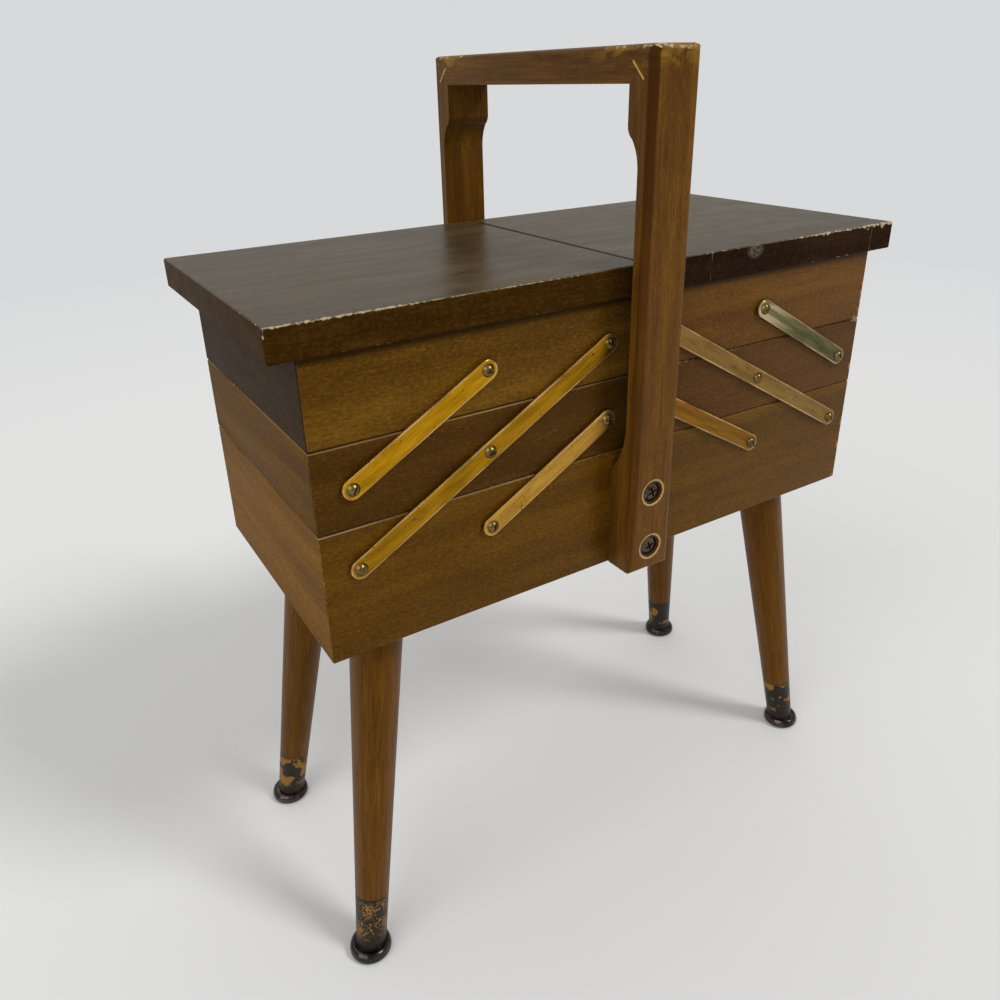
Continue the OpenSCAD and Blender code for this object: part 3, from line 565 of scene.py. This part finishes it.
def link_tree():
    """Flat strips with round ends and soft edges, pierced at each pivot, one at each
    point of the piece."""
    tree, given = new_tree("Pierced strip", {
        "Pivots": ("Int", 2), "Pitch": ("Float", 0.1), "Width": ("Float", 0.0127),
        "Thickness": ("Float", 0.002), "Edge radius": ("Float", 0.0006),
        "Hole": ("Float", 0.00416), "Slope": ("Float", 0.0), "Material": ("Material", None)})
    value = given.outputs
    rings = 8
    line = add(tree, "GeometryNodeMeshLine", {
        "Count": rings, "Offset": (0, 0, 0)}, mode="OFFSET")
    turn = add(tree, MATH, {
        0: add(tree, "GeometryNodeInputIndex"), 1: math.pi / (rings - 1)},
        operation="MULTIPLY")
    cosine = add(tree, MATH, {0: turn}, operation="COSINE")
    sine = add(tree, MATH, {0: turn}, operation="SINE")
    half = add(tree, MATH, {0: value["Thickness"], 1: 0.5}, operation="MULTIPLY")
    flat = add(tree, MATH, {0: half, 1: value["Edge radius"]}, operation="SUBTRACT")
    sign = add(tree, MATH, {0: cosine}, operation="SIGN")
    depth = add(tree, MATH, {0: sign, 1: flat}, operation="MULTIPLY")
    depth = add(tree, MATH, {0: cosine, 1: value["Edge radius"], 2: depth},
                operation="MULTIPLY_ADD")
    depth = add(tree, MATH, {0: half, 1: depth}, operation="SUBTRACT")
    inner = add(tree, MATH, {0: value["Width"], 1: 0.5}, operation="MULTIPLY")
    inner = add(tree, MATH, {0: inner, 1: value["Edge radius"]}, operation="SUBTRACT")
    radius = add(tree, MATH, {0: sine, 1: value["Edge radius"], 2: inner},
                 operation="MULTIPLY_ADD")
    spots = add(tree, "GeometryNodeSetPosition", {
        "Geometry": line, "Position": add(tree, "ShaderNodeCombineXYZ", {"Y": depth})})
    upright = math.radians(90)
    circle = add(tree, "GeometryNodeMeshCircle", {"Vertices": 48, "Radius": 1.0})
    circle = add(tree, "GeometryNodeTransform", {
        "Geometry": circle, "Rotation": (upright, 0, 0)})
    end = add(tree, "GeometryNodeInstanceOnPoints", {
        "Points": spots, "Instance": circle,
        "Scale": add(tree, "ShaderNodeCombineXYZ", {"X": radius, "Y": radius, "Z": radius})})
    spans = add(tree, MATH, {0: value["Pivots"], 1: 1.0}, operation="SUBTRACT")
    reach = add(tree, MATH, {0: spans, 1: value["Pitch"]}, operation="MULTIPLY")
    ends = add(tree, "GeometryNodeMeshLine", {
        "Count": 2, "Offset": add(tree, "ShaderNodeCombineXYZ", {"X": reach})}, mode="OFFSET")
    both = add(tree, "GeometryNodeInstanceOnPoints", {"Points": ends, "Instance": end})
    both = add(tree, "GeometryNodeRealizeInstances", {"Geometry": both})
    strip = add(tree, "GeometryNodeConvexHull", {"Geometry": both})
    bore = add(tree, MATH, {0: value["Hole"], 1: 0.5}, operation="MULTIPLY")
    drill = add(tree, "GeometryNodeMeshCylinder", {
        "Vertices": 40, "Radius": bore, "Depth": 20 * MM})
    drill = add(tree, "GeometryNodeTransform", {
        "Geometry": pick(drill.outputs, 0), "Rotation": (upright, 0, 0)})
    holes = add(tree, "GeometryNodeMeshLine", {
        "Count": value["Pivots"],
        "Offset": add(tree, "ShaderNodeCombineXYZ", {"X": value["Pitch"]})}, mode="OFFSET")
    holes = add(tree, "GeometryNodeInstanceOnPoints", {"Points": holes, "Instance": drill})
    holes = add(tree, "GeometryNodeRealizeInstances", {"Geometry": holes})
    pierced = add(tree, "GeometryNodeMeshBoolean", {"Mesh 1": strip, "Mesh 2": holes},
                  operation="DIFFERENCE", solver="EXACT")
    turned = add(tree, "ShaderNodeCombineXYZ", {"Y": value["Slope"]})
    placed = add(tree, "GeometryNodeInstanceOnPoints", {
        "Points": value["Geometry"], "Instance": pick(pierced.outputs, 0),
        "Rotation": turned})
    finish_tree(tree, given, placed)
    return tree


def finish_tree(tree, given, geometry):
    """Real geometry, smooth but for its sharp edges, in the material asked for."""
    sharpest_smooth = math.radians(28)
    real = add(tree, "GeometryNodeRealizeInstances", {"Geometry": geometry})
    smooth = add(tree, "GeometryNodeSetShadeSmooth", {"Geometry": real}, domain="FACE")
    fold = add(tree, "GeometryNodeInputMeshEdgeAngle")
    sharp = add(tree, "FunctionNodeCompare", {
        0: fold.outputs["Unsigned Angle"], 1: sharpest_smooth}, operation="GREATER_THAN")
    edged = add(tree, "GeometryNodeSetShadeSmooth", {
        "Geometry": smooth, "Selection": sharp, "Shade Smooth": False}, domain="EDGE")
    last = add(tree, "GeometryNodeSetMaterial", {
        "Geometry": edged, "Material": given.outputs["Material"]})
    add(tree, "NodeGroupOutput", {"Geometry": last})


def chip_tree():
    """Chips of many sizes knocked out along the upper edges of a board, more of them on
    its front edge than elsewhere."""
    tree, given = new_tree("Chipped edges", {
        "Lowest corner": ("Vector", (0, 0, 0)), "Highest corner": ("Vector", (1, 1, 1)),
        "Spacing": ("Float", 0.006), "Chip size": ("Float", 0.0014), "Seed": ("Int", 1),
        "Material": ("Material", None)})
    value = given.outputs
    spread = add(tree, VECTOR, {0: value["Highest corner"], 1: value["Lowest corner"]},
                 operation="SUBTRACT")
    middle = add(tree, VECTOR, {0: value["Highest corner"], 1: value["Lowest corner"]},
                 operation="ADD")
    middle = add(tree, VECTOR, {0: middle, "Scale": 0.5}, operation="SCALE")
    length, depth, _ = add(tree, "ShaderNodeSeparateXYZ", {0: spread}).outputs
    x, y, _ = add(tree, "ShaderNodeSeparateXYZ", {0: middle}).outputs
    top = add(tree, "ShaderNodeSeparateXYZ", {0: value["Highest corner"]}).outputs["Z"]
    rim = add(tree, "GeometryNodeCurvePrimitiveQuadrilateral", {
        "Width": length, "Height": depth}, mode="RECTANGLE")
    rim = add(tree, "GeometryNodeTransform", {
        "Geometry": rim,
        "Translation": add(tree, "ShaderNodeCombineXYZ", {"X": x, "Y": y, "Z": top})})
    dots = add(tree, "GeometryNodeCurveToPoints", {
        "Curve": rim, "Length": value["Spacing"]}, mode="LENGTH")
    where = add(tree, "GeometryNodeInputPosition")
    behind = add(tree, VECTOR, {0: where, 1: value["Lowest corner"]}, operation="SUBTRACT")
    behind = add(tree, "ShaderNodeSeparateXYZ", {0: behind}).outputs["Y"]
    front = add(tree, MATH, {0: behind, 1: 2 * MM}, operation="LESS_THAN")
    least, more_in_front = 0.08, 0.4
    chance = add(tree, MATH, {0: front, 1: more_in_front, 2: least},
                 operation="MULTIPLY_ADD")
    lot = add(tree, "FunctionNodeRandomValue", {
        "Min": 0.0, "Max": 1.0, "Seed": value["Seed"]}, data_type="FLOAT")
    miss = add(tree, MATH, {0: lot, 1: chance}, operation="GREATER_THAN")
    kept = add(tree, "GeometryNodeDeleteGeometry", {
        "Geometry": pick(dots.outputs, 0), "Selection": miss}, domain="POINT")
    second = add(tree, MATH, {0: value["Seed"], 1: 7.0}, operation="ADD")
    third = add(tree, MATH, {0: value["Seed"], 1: 19.0}, operation="ADD")
    inward = add(tree, VECTOR, {0: middle, 1: where}, operation="SUBTRACT")
    inward = add(tree, VECTOR, {0: inward}, operation="SIGN")
    away = add(tree, VECTOR, {0: inward, "Scale": -0.25 * MM}, operation="SCALE")
    moved = add(tree, "GeometryNodeSetPosition", {"Geometry": kept, "Offset": away})
    scale = add(tree, "FunctionNodeRandomValue", {
        "Min": 0.25, "Max": 1.0, "Seed": third}, data_type="FLOAT")
    scale = add(tree, MATH, {0: scale, 1: 2.2}, operation="POWER")
    scale = add(tree, MATH, {0: scale, 1: value["Chip size"]}, operation="MULTIPLY")
    stretch = add(tree, "FunctionNodeRandomValue", {
        "Min": (0.9, 0.9, 0.5), "Max": (2.4, 2.4, 1.0), "Seed": second},
        data_type="FLOAT_VECTOR")
    stretch = add(tree, VECTOR, {0: stretch, "Scale": scale}, operation="SCALE")
    ball = add(tree, "GeometryNodeMeshIcoSphere", {"Radius": 1.0, "Subdivisions": 2})
    rough = add(tree, NOISE, {
        "Vector": add(tree, "GeometryNodeInputPosition"), "Scale": 1.3, "Detail": 2.0})
    lump = add(tree, VECTOR, {0: rough.outputs["Color"], 1: (0.5, 0.5, 0.5)},
               operation="SUBTRACT")
    lump = add(tree, VECTOR, {0: lump, "Scale": 0.9}, operation="SCALE")
    ball = add(tree, "GeometryNodeSetPosition", {
        "Geometry": pick(ball.outputs, 0), "Offset": lump})
    spin = add(tree, "FunctionNodeRandomValue", {
        "Min": (0, 0, 0), "Max": (0.5, 0.5, 0.4), "Seed": third}, data_type="FLOAT_VECTOR")
    chips = add(tree, "GeometryNodeInstanceOnPoints", {
        "Points": moved, "Instance": ball, "Rotation": spin, "Scale": stretch})
    chips = add(tree, "GeometryNodeRealizeInstances", {"Geometry": chips})
    cut = add(tree, "GeometryNodeMeshBoolean", {
        "Mesh 1": value["Geometry"], "Mesh 2": chips, "Self Intersection": True},
        operation="DIFFERENCE", solver="EXACT")
    finish_tree(tree, given, pick(cut.outputs, 0))
    return tree


# What a user would change

class CarrierLooks(bpy.types.PropertyGroup):
    """Sizes and colours of the carrier's finish."""

    link_edge: bpy.props.FloatProperty(
        name="Link edge", description="Radius of the links' long edges",
        default=0.6 * MM, min=0.1 * MM, max=0.9 * MM, unit="LENGTH")
    chip_size: bpy.props.FloatProperty(
        name="Chip size", description="Size of the largest chips along the lids",
        default=0.9 * MM, min=0.2 * MM, max=4 * MM, unit="LENGTH")
    chip_spacing: bpy.props.FloatProperty(
        name="Chip spacing", description="Distance between places that may be chipped",
        default=5 * MM, min=2 * MM, max=50 * MM, unit="LENGTH")
    wear: bpy.props.FloatProperty(
        name="Wear", description="How far the stain is rubbed off the edges",
        default=0.5, min=0.0, max=2.0, subtype="FACTOR")
    bare_wood: bpy.props.FloatVectorProperty(
        name="Bare wood", description="Colour where the stain is rubbed through",
        default=rgb("#a8977a"), min=0.0, max=1.0, subtype="COLOR")
    floor: bpy.props.FloatVectorProperty(
        name="Floor", description="Colour of the studio floor",
        default=rgb("#dcdddd"), min=0.0, max=1.0, subtype="COLOR")


def all_nodes(*parts):
    """CAD nodes whose names hold every part given."""
    return [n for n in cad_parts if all(p in n for p in parts)]


# The stains of the tiers' fronts and ends, of the lids' rims and of the turned parts,
# each as a dark, a middle and a light tone; the ends' tones also hold painted light
FRONTS = {
    "base": ("#402806", "#553809", "#6e4a0d"),
    "middle_left": ("#352006", "#442b08", "#5c3d0e"),
    "middle_right": ("#3a220a", "#4c2f10", "#623f18"),
    "top_left": ("#3f2907", "#583b0c", "#755216"),
    "top_right": ("#482b0c", "#5c3b12", "#714c1b"),
}
# The ends' tones differ by tier as painted light: lighter on the base, as lit from below, and
# darker on the top tier, as shade under the lid's overhang.
ENDS_LIT_AND_SHADED = {
    "base": ("#553911", "#714d1b", "#8c6228"),
    "middle": ("#402a0a", "#583b11", "#704f1c"),
    "top": ("#20160a", "#302111", "#43311b"),
}
LID = ("#292013", "#43351e", "#594629")
LID_RIMS = {
    "left": ("#261805", "#392408", "#4d3510"),
    "right": ("#1c120b", "#2a1c12", "#3a291a"),
}
HANDLE = ("#3c240b", "#583810", "#754e15")
LEG = ("#422808", "#59370c", "#6a4614")

# How far down from a lid painted shade lies on the wall of its tray, where the lid's overhang
# shades it, in millimetres
LID_SHADE = {"top_left": 4.6, "top_right": 3.8}

# How wide the upright edge at the right front of a tier is knocked, in millimetres
CORNER_KNOCKS = {"base": 4.0, "middle_right": 4.0, "top_right": 4.0}

# How far the front edges of the lids are worn, from the left-hand end to the right-hand
FRONT_WEAR = {"left": (1.0 * MM, 0.2 * MM), "right": (0.1 * MM, 0.9 * MM)}

# How far from the outer front corner of a lid it is chipped, and how wide, in millimetres
CORNER_WEAR = {"left": (20, 1.6), "right": (130, 4.2)}

# Scuffs on the fronts of the lids, in millimetres: place along the box from its middle
# and down from the top of the lid, width and height
SCUFFS = {"left": (), "right": ((93, 4, 13, 8),)}

# Where the lipping on the front of a lid is joined, in millimetres from its outer end
LIPPING_AT = {"left": (), "right": (24, 181.6)}

# Brass under old lacquer, which has browned more on some links than on others
BRASS = {
    "upper_left": ("#a0720a", "#c79418"),
    "long_left": ("#87600e", "#ad7e16"),
    "lower_left": ("#a87d30", "#c8993f"),
    "upper_right": ("#4d4a2c", "#6d6743"),
    "long_right": ("#7a5c2e", "#957339"),
    "lower_right": ("#754e13", "#94661b"),
}


# The steps that build the looks

class CARRIER_OT_boxes(bpy.types.Operator):
    """Stains the base box and the trays, each with wear along its own edges."""

    bl_idname = "carrier.boxes"
    bl_label = "Base and trays"

    def execute(self, context):
        looks = context.scene.carrier_looks
        for tier in FRONTS:
            names = [n for n in all_nodes(tier) if n.split("_")[-1] != "bottom"
                     and n.startswith(tier)]
            box = union_box(names)
            lid_shade = LID_SHADE.get(tier, 0.0)
            seam = tier != "base"
            walls = wall_wood(f"Stained beech, {tier} walls", FRONTS[tier], 0, box, looks,
                              lid_shade=lid_shade, knocks=CORNER_KNOCKS.get(tier, 0.0), seam=seam)
            # The ends have lost their polish, and stay dull seen from the side. Below a lid
            # they take a narrower band of painted shade.
            ends = wall_wood(f"Stained beech, {tier} ends", ENDS_LIT_AND_SHADED[tier.split("_")[0]], 1,
                             box, looks, shine=0.01, lid_shade=0.3 * lid_shade, seam=seam)
            dress([n for n in names if "end" not in n], walls)
            dress([n for n in names if "end" in n], ends)
        dress(all_nodes("_bottom"), plywood())
        return {"FINISHED"}


class CARRIER_OT_lids(bpy.types.Operator):
    """Rebuilds the two lids with chipped upper edges."""

    bl_idname = "carrier.lids"
    bl_label = "Lids"

    def execute(self, context):
        looks = context.scene.carrier_looks
        tree = chip_tree()
        for number, side in enumerate(SIDES):
            node = f"lid_{side}"
            low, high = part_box(node)
            material = lid_veneer(side, (low, high), looks)
            lid = merged_copy(node, f"lid_board_{side}")
            bake(lid, tree, material, Lowest_corner=low, Highest_corner=high,
                 Spacing=looks.chip_spacing, Chip_size=looks.chip_size, Seed=11 + 5 * number)
            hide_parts(node)
            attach(lid, node)
        return {"FINISHED"}


class CARRIER_OT_handle(bpy.types.Operator):
    """Stains the posts and the rail, with bare rings round the sunk screws."""

    bl_idname = "carrier.handle"
    bl_label = "Handle"

    def execute(self, context):
        looks = context.scene.carrier_looks
        posts = ["handle_post_front", "handle_post_back"]
        box = union_box([*posts, "handle_rail"])
        heights = screw_heights("handle_screws")
        dress(posts, handle_wood("Stained beech, handle posts", 2, box, heights, looks))
        dress(["handle_rail"], handle_wood("Stained beech, handle rail", 1, box, [], looks))
        key = plain_wood("Bare beech key", ("#9a7434", "#bf954c", "#d8b268"), 1)
        dress(["mitre_keys"], key)
        return {"FINISHED"}


def screw_heights(node):
    """The heights of the screws in a CAD node, by the gaps between their vertices."""
    heights = sorted(v.co.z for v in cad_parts[node].data.vertices)
    least_gap = 8 * MM
    groups = [[heights[0]]]
    for z in heights:
        if z - groups[-1][-1] > least_gap:
            groups.append([z])
        groups[-1].append(z)
    return [(min(g) + max(g)) / 2 for g in groups]


class CARRIER_OT_legs(bpy.types.Operator):
    """Stains the turned legs and gives ferrules and glides their worn finish."""

    bl_idname = "carrier.legs"
    bl_label = "Legs"

    def execute(self, context):
        leaning = axis_of("leg_back_right")
        ferrule_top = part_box("ferrules")[1].z

        def one_leg(tree, place):
            """Every leg has its own stretch of grain, which runs up its axis."""
            corner = add(tree, VECTOR, {0: place}, operation="SIGN")
            fold = add(tree, VECTOR, {0: place}, operation="ABSOLUTE")
            turn = leaning.rotation_difference(Vector((0, 0, 1))).to_euler()
            upright = add(tree, MAPPING, {"Vector": fold, "Rotation": tuple(turn)})
            return add(tree, VECTOR, {0: upright, 1: corner}, operation="ADD").outputs[0]

        def upper_part(tree, place):
            """The enamel flakes where shoes knock it, and not down by the glide."""
            height = add(tree, "ShaderNodeSeparateXYZ", {0: place}).outputs[2]
            return mask(tree, (height, 16 * MM, 20 * MM),
                        (height, ferrule_top - 2 * MM, ferrule_top - 5 * MM))

        def flake_size(tree, place):
            """Small flakes are off the front left ferrule, and large ones off the rest."""
            x, y, _ = add(tree, "ShaderNodeSeparateXYZ", {0: place}).outputs
            corner = add(tree, MATH, {0: x, 1: y}, operation="ADD")
            return mask(tree, (corner, -200 * MM, -150 * MM, 0.7, 0.08))

        wood = turned_wood("Turned stained beech", LEG, one_leg)
        dress([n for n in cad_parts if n.startswith("leg_") and n != "leg_plates"], wood)
        # Glossy near-black enamel, with dull gold brass where it has flaked off.
        dress(["ferrules"], metal(
            "Black enamel flaking off brass", ("#18130d", "#261e14"), 0.4, "#946a1d",
            spot_size=1.9, spot_cut=0.525, metallic=0.5, only=upper_part,
            fine_share=flake_size))
        # Dark polished domes that mirror the floor, scraped paler in spots.
        dress(["glides"], metal(
            "Blackened steel", ("#3b3532", "#554e4a"), 0.15, "#6f655f", spot_size=4,
            spot_cut=0.6))
        # Even and light grey, with a soft shine.
        dress(["leg_plates", "plate_screws", "hanger_bolts"], metal(
            "Zinc-plated steel", ("#8e8f8c", "#a6a7a3"), 0.36))
        return {"FINISHED"}


def axis_of(leg):
    """The direction from the foot of a leg to its top."""
    spots = [v.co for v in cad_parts[leg].data.vertices]
    low, high = min(v.z for v in spots), max(v.z for v in spots)
    feet = [v for v in spots if v.z < low + 3 * MM]
    tops = [v for v in spots if v.z > high - 15 * MM]
    return (sum(tops, Vector()) / len(tops) - sum(feet, Vector()) / len(feet)).normalized()


class CARRIER_OT_links(bpy.types.Operator):
    """Rebuilds the links with the soft edges of pressed brass strip."""

    bl_idname = "carrier.links"
    bl_label = "Links"

    def execute(self, context):
        looks = context.scene.carrier_looks
        tree = link_tree()
        for side in SIDES:
            pitch, rest, width = link_sizes(side)
            turn = rest if side == "left" else -rest
            slope = rest if side == "left" else math.pi - rest
            for kind in ("long", "lower", "upper"):
                node = f"{kind}_links_{side}"
                low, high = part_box(node)
                thick = strip_thickness(node)
                outer = high.x - width / 2 if side == "right" else low.x + width / 2
                base = low.z + width / 2
                count = 3 if kind == "long" else 2
                pivot = Matrix.Rotation(turn, 3, "Y") @ Vector((outer, low.y, base))
                span = pitch * (count - 1) * (1 if side == "left" else -1)
                # Golden to brown, scratched lengthwise, with a painted highlight along its rim.
                brass = metal(
                    f"Lacquered brass strip, {kind} {side}", BRASS[f"{kind}_{side}"], 0.34,
                    "#573d14", spot_size=1.3, spot_cut=0.61, turn=turn,
                    strip=(pivot, span, width / 2), highlight_streak=node == "upper_links_right")
                piece = bpy.data.objects.new(f"links_{kind}_{side}", bpy.data.meshes.new(node))
                piece.data.from_pydata(
                    [(outer, low.y, base), (outer, high.y - thick, base)], [], [])
                bpy.context.scene.collection.objects.link(piece)
                bake(piece, tree, brass, Pivots=count, Pitch=pitch,
                     Width=width, Thickness=thick, Edge_radius=looks.link_edge,
                     Hole=hole_width(node, outer, base), Slope=-slope)
                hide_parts(node)
                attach(piece, node)
        return {"FINISHED"}


def link_sizes(side):
    """The pitch of a side's pivots, the slope of its links at rest and their width."""
    (low, high), (short_low, short_high) = (
        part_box(f"{kind}_links_{side}") for kind in ("long", "lower"))
    short = short_high - short_low
    step = high - low - short
    return math.hypot(step.x, step.z), math.atan2(step.z, step.x), short.x - step.x


def strip_thickness(node):
    """The thickness of the front link, from its vertices."""
    ys = [v.co.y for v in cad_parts[node].data.vertices if v.co.y < 0]
    return max(ys) - min(ys)


def hole_width(node, x, z):
    """The width of the hole round a pivot."""
    return 2 * min(math.hypot(v.co.x - x, v.co.z - z)
                   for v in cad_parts[node].data.vertices)


class CARRIER_OT_hardware(bpy.types.Operator):
    """Gives screws, washers and hinges their metals."""

    bl_idname = "carrier.hardware"
    bl_label = "Screws and hinges"

    def execute(self, context):
        # Olive brown and fairly glossy, with near-black tarnish.
        dress(all_nodes("pivot_screws"), metal(
            "Antique brass screws", ("#5b4b25", "#806c40"), 0.27, "#2e2414", spot_size=1.2,
            spot_cut=0.58))
        # Grey and satin, a thin light line below each screw head.
        dress(all_nodes("washers"), metal("Steel washers", ("#6f6a5c", "#8a8474"), 0.42))
        # Dark and dull, its plating gone brown in the recesses of the wood.
        dress(["handle_screws"], metal(
            "Dull nickel-plated screws", ("#4c4235", "#6c604e"), 0.36, "#2a2016",
            spot_size=2, spot_cut=0.56))
        # Pale gold, browned in small spots.
        dress(all_nodes("hinge_"), metal(
            "Brass-plated hinge steel", ("#94793a", "#b0944f"), 0.34, "#57411c",
            spot_size=1.6))
        return {"FINISHED"}


# The studio: a backdrop that only the camera sees, a soft light from all round, and a
# paper floor that fades into the backdrop. Half the floor's width and the two distances
# of the fade are in metres.
BACKDROP = rgb("#d8d9da")
SKY = rgb("#f3f1ee")
SKY_STRENGTH = 0.45
FLOOR_HALF = 9.0
FADE = (0.9, 2.6)

# Where the light of each lamp comes from, its width in degrees and its strength. Wide
# suns light the floor evenly as far as it shows.
LAMPS = {
    "key": ((0.55, -0.75, 0.95), 16, 1.4),
    "fill": ((-0.9, -0.35, 0.7), 50, 1.05),
    "top": ((0.1, 0.3, 1.0), 60, 0.5),
}

# The camera of the photograph: its place in metres, how far it is turned right, up and
# about its own axis in degrees, its focal length in pixels of a picture 1000 pixels
# wide, the shift of the picture as a share of its width, and its sensor in millimetres.
CAMERA_PLACE = (-0.341332, -0.486128, 0.574377)
CAMERA_TURN = (31.163, -24.423, -1.556)
FOCAL_PIXELS = 838.606
PICTURE_PIXELS = 1000
PICTURE_SHIFT = (0.0057, -0.0453)
SENSOR_WIDTH = 36


def shader_output(tree):
    """The output node of a material."""
    return next(n for n in tree.nodes if n.type == "OUTPUT_MATERIAL")


class CARRIER_OT_stage(bpy.types.Operator):
    """Sets the floor, the lamps and the camera of the photograph."""

    bl_idname = "carrier.stage"
    bl_label = "Stage"

    def execute(self, context):
        scene = context.scene
        floor_mesh = bpy.data.meshes.new("studio_floor")
        half = FLOOR_HALF
        floor_mesh.from_pydata(
            [(-half, -half, 0), (half, -half, 0), (half, half, 0), (-half, half, 0)], [],
            [(0, 1, 2, 3)])
        floor = bpy.data.objects.new("studio_floor", floor_mesh)
        scene.collection.objects.link(floor)
        # Matt grey paper, its tone a little uneven.
        paper, tree, shader, place = new_material("Pale studio paper")
        tone = patches(tree, place, (40, 40, 40), 2)
        pale = tuple(scene.carrier_looks.floor)
        darker = tuple(c * 0.9 for c in pale)
        colour = layer(tree, pale, darker, (tone, 0.3, 0.7, 0.0, 0.02))
        feed(tree, shader, {"Base Color": colour, "Roughness": 0.9})
        # Far from the carrier the floor runs into the backdrop without a line.
        away = add(tree, VECTOR, {0: place}, operation="LENGTH").outputs["Value"]
        seen = add(tree, "ShaderNodeLightPath").outputs["Is Camera Ray"]
        far = mask(tree, (away, *FADE), seen)
        glow = add(tree, "ShaderNodeEmission", {"Color": BACKDROP, "Strength": 1.0})
        fade = add(tree, "ShaderNodeMixShader", {0: far, 1: shader, 2: glow})
        feed(tree, shader_output(tree), {"Surface": fade})
        floor_mesh.materials.append(paper)

        world = bpy.data.worlds.new("Studio")
        scene.world = world
        world.use_nodes = True
        sky = world.node_tree
        sky.nodes.clear()
        seen = add(sky, "ShaderNodeLightPath").outputs["Is Camera Ray"]
        soft = add(sky, "ShaderNodeBackground", {"Color": SKY, "Strength": SKY_STRENGTH})
        plain = add(sky, "ShaderNodeBackground", {"Color": BACKDROP, "Strength": 1.0})
        both = add(sky, "ShaderNodeMixShader", {0: seen, 1: soft, 2: plain})
        add(sky, "ShaderNodeOutputWorld", {"Surface": both})

        for name, (spot, spread, strength) in LAMPS.items():
            lamp = bpy.data.lights.new(name, "SUN")
            lamp.angle = math.radians(spread)
            lamp.energy = strength
            holder = bpy.data.objects.new(name, lamp)
            holder.rotation_euler = (-Vector(spot)).to_track_quat("-Z", "Y").to_euler()
            scene.collection.objects.link(holder)

        yaw, pitch, roll = (math.radians(a) for a in CAMERA_TURN)
        ahead = Vector((math.sin(yaw) * math.cos(pitch), math.cos(yaw) * math.cos(pitch),
                        math.sin(pitch)))
        across = Vector((math.cos(yaw), -math.sin(yaw), 0))
        up = across.cross(ahead)
        right = across * math.cos(roll) + up * math.sin(roll)
        over = up * math.cos(roll) - across * math.sin(roll)
        camera = bpy.data.cameras.new("camera")
        camera.sensor_width = SENSOR_WIDTH
        camera.lens = SENSOR_WIDTH * FOCAL_PIXELS / PICTURE_PIXELS
        camera.shift_x, camera.shift_y = PICTURE_SHIFT
        camera.clip_start = 0.05
        holder = bpy.data.objects.new("camera", camera)
        turned = Matrix((right, over, -ahead)).transposed().to_4x4()
        holder.matrix_world = Matrix.Translation(CAMERA_PLACE) @ turned
        scene.collection.objects.link(holder)
        scene.camera = holder
        scene.view_settings.view_transform = "Standard"
        return {"FINISHED"}


class CARRIER_PT_panel(bpy.types.Panel):
    """The carrier's looks and the steps that build them."""

    bl_label = "Carrier"
    bl_idname = "CARRIER_PT_panel"
    bl_space_type = "VIEW_3D"
    bl_region_type = "UI"
    bl_category = "Carrier"

    def draw(self, context):
        looks = context.scene.carrier_looks
        for name in CarrierLooks.__annotations__:
            self.layout.prop(looks, name)
        for step in STEPS:
            self.layout.operator(step.bl_idname)


STEPS = (CARRIER_OT_boxes, CARRIER_OT_lids, CARRIER_OT_handle, CARRIER_OT_legs,
         CARRIER_OT_links, CARRIER_OT_hardware, CARRIER_OT_stage)
CLASSES = (CarrierLooks, *STEPS, CARRIER_PT_panel)


def register():
    """Registers the classes, and the looks on the scene."""
    for item in CLASSES:
        bpy.utils.register_class(item)
    bpy.types.Scene.carrier_looks = bpy.props.PointerProperty(type=CarrierLooks)


def unregister():
    """Takes away what register added."""
    del bpy.types.Scene.carrier_looks
    for item in reversed(CLASSES):
        bpy.utils.unregister_class(item)


def main():
    """Runs every step in order."""
    register()
    for step in STEPS:
        group, name = step.bl_idname.split(".")
        getattr(getattr(bpy.ops, group), name)()


if __name__ == "__main__":
    main()
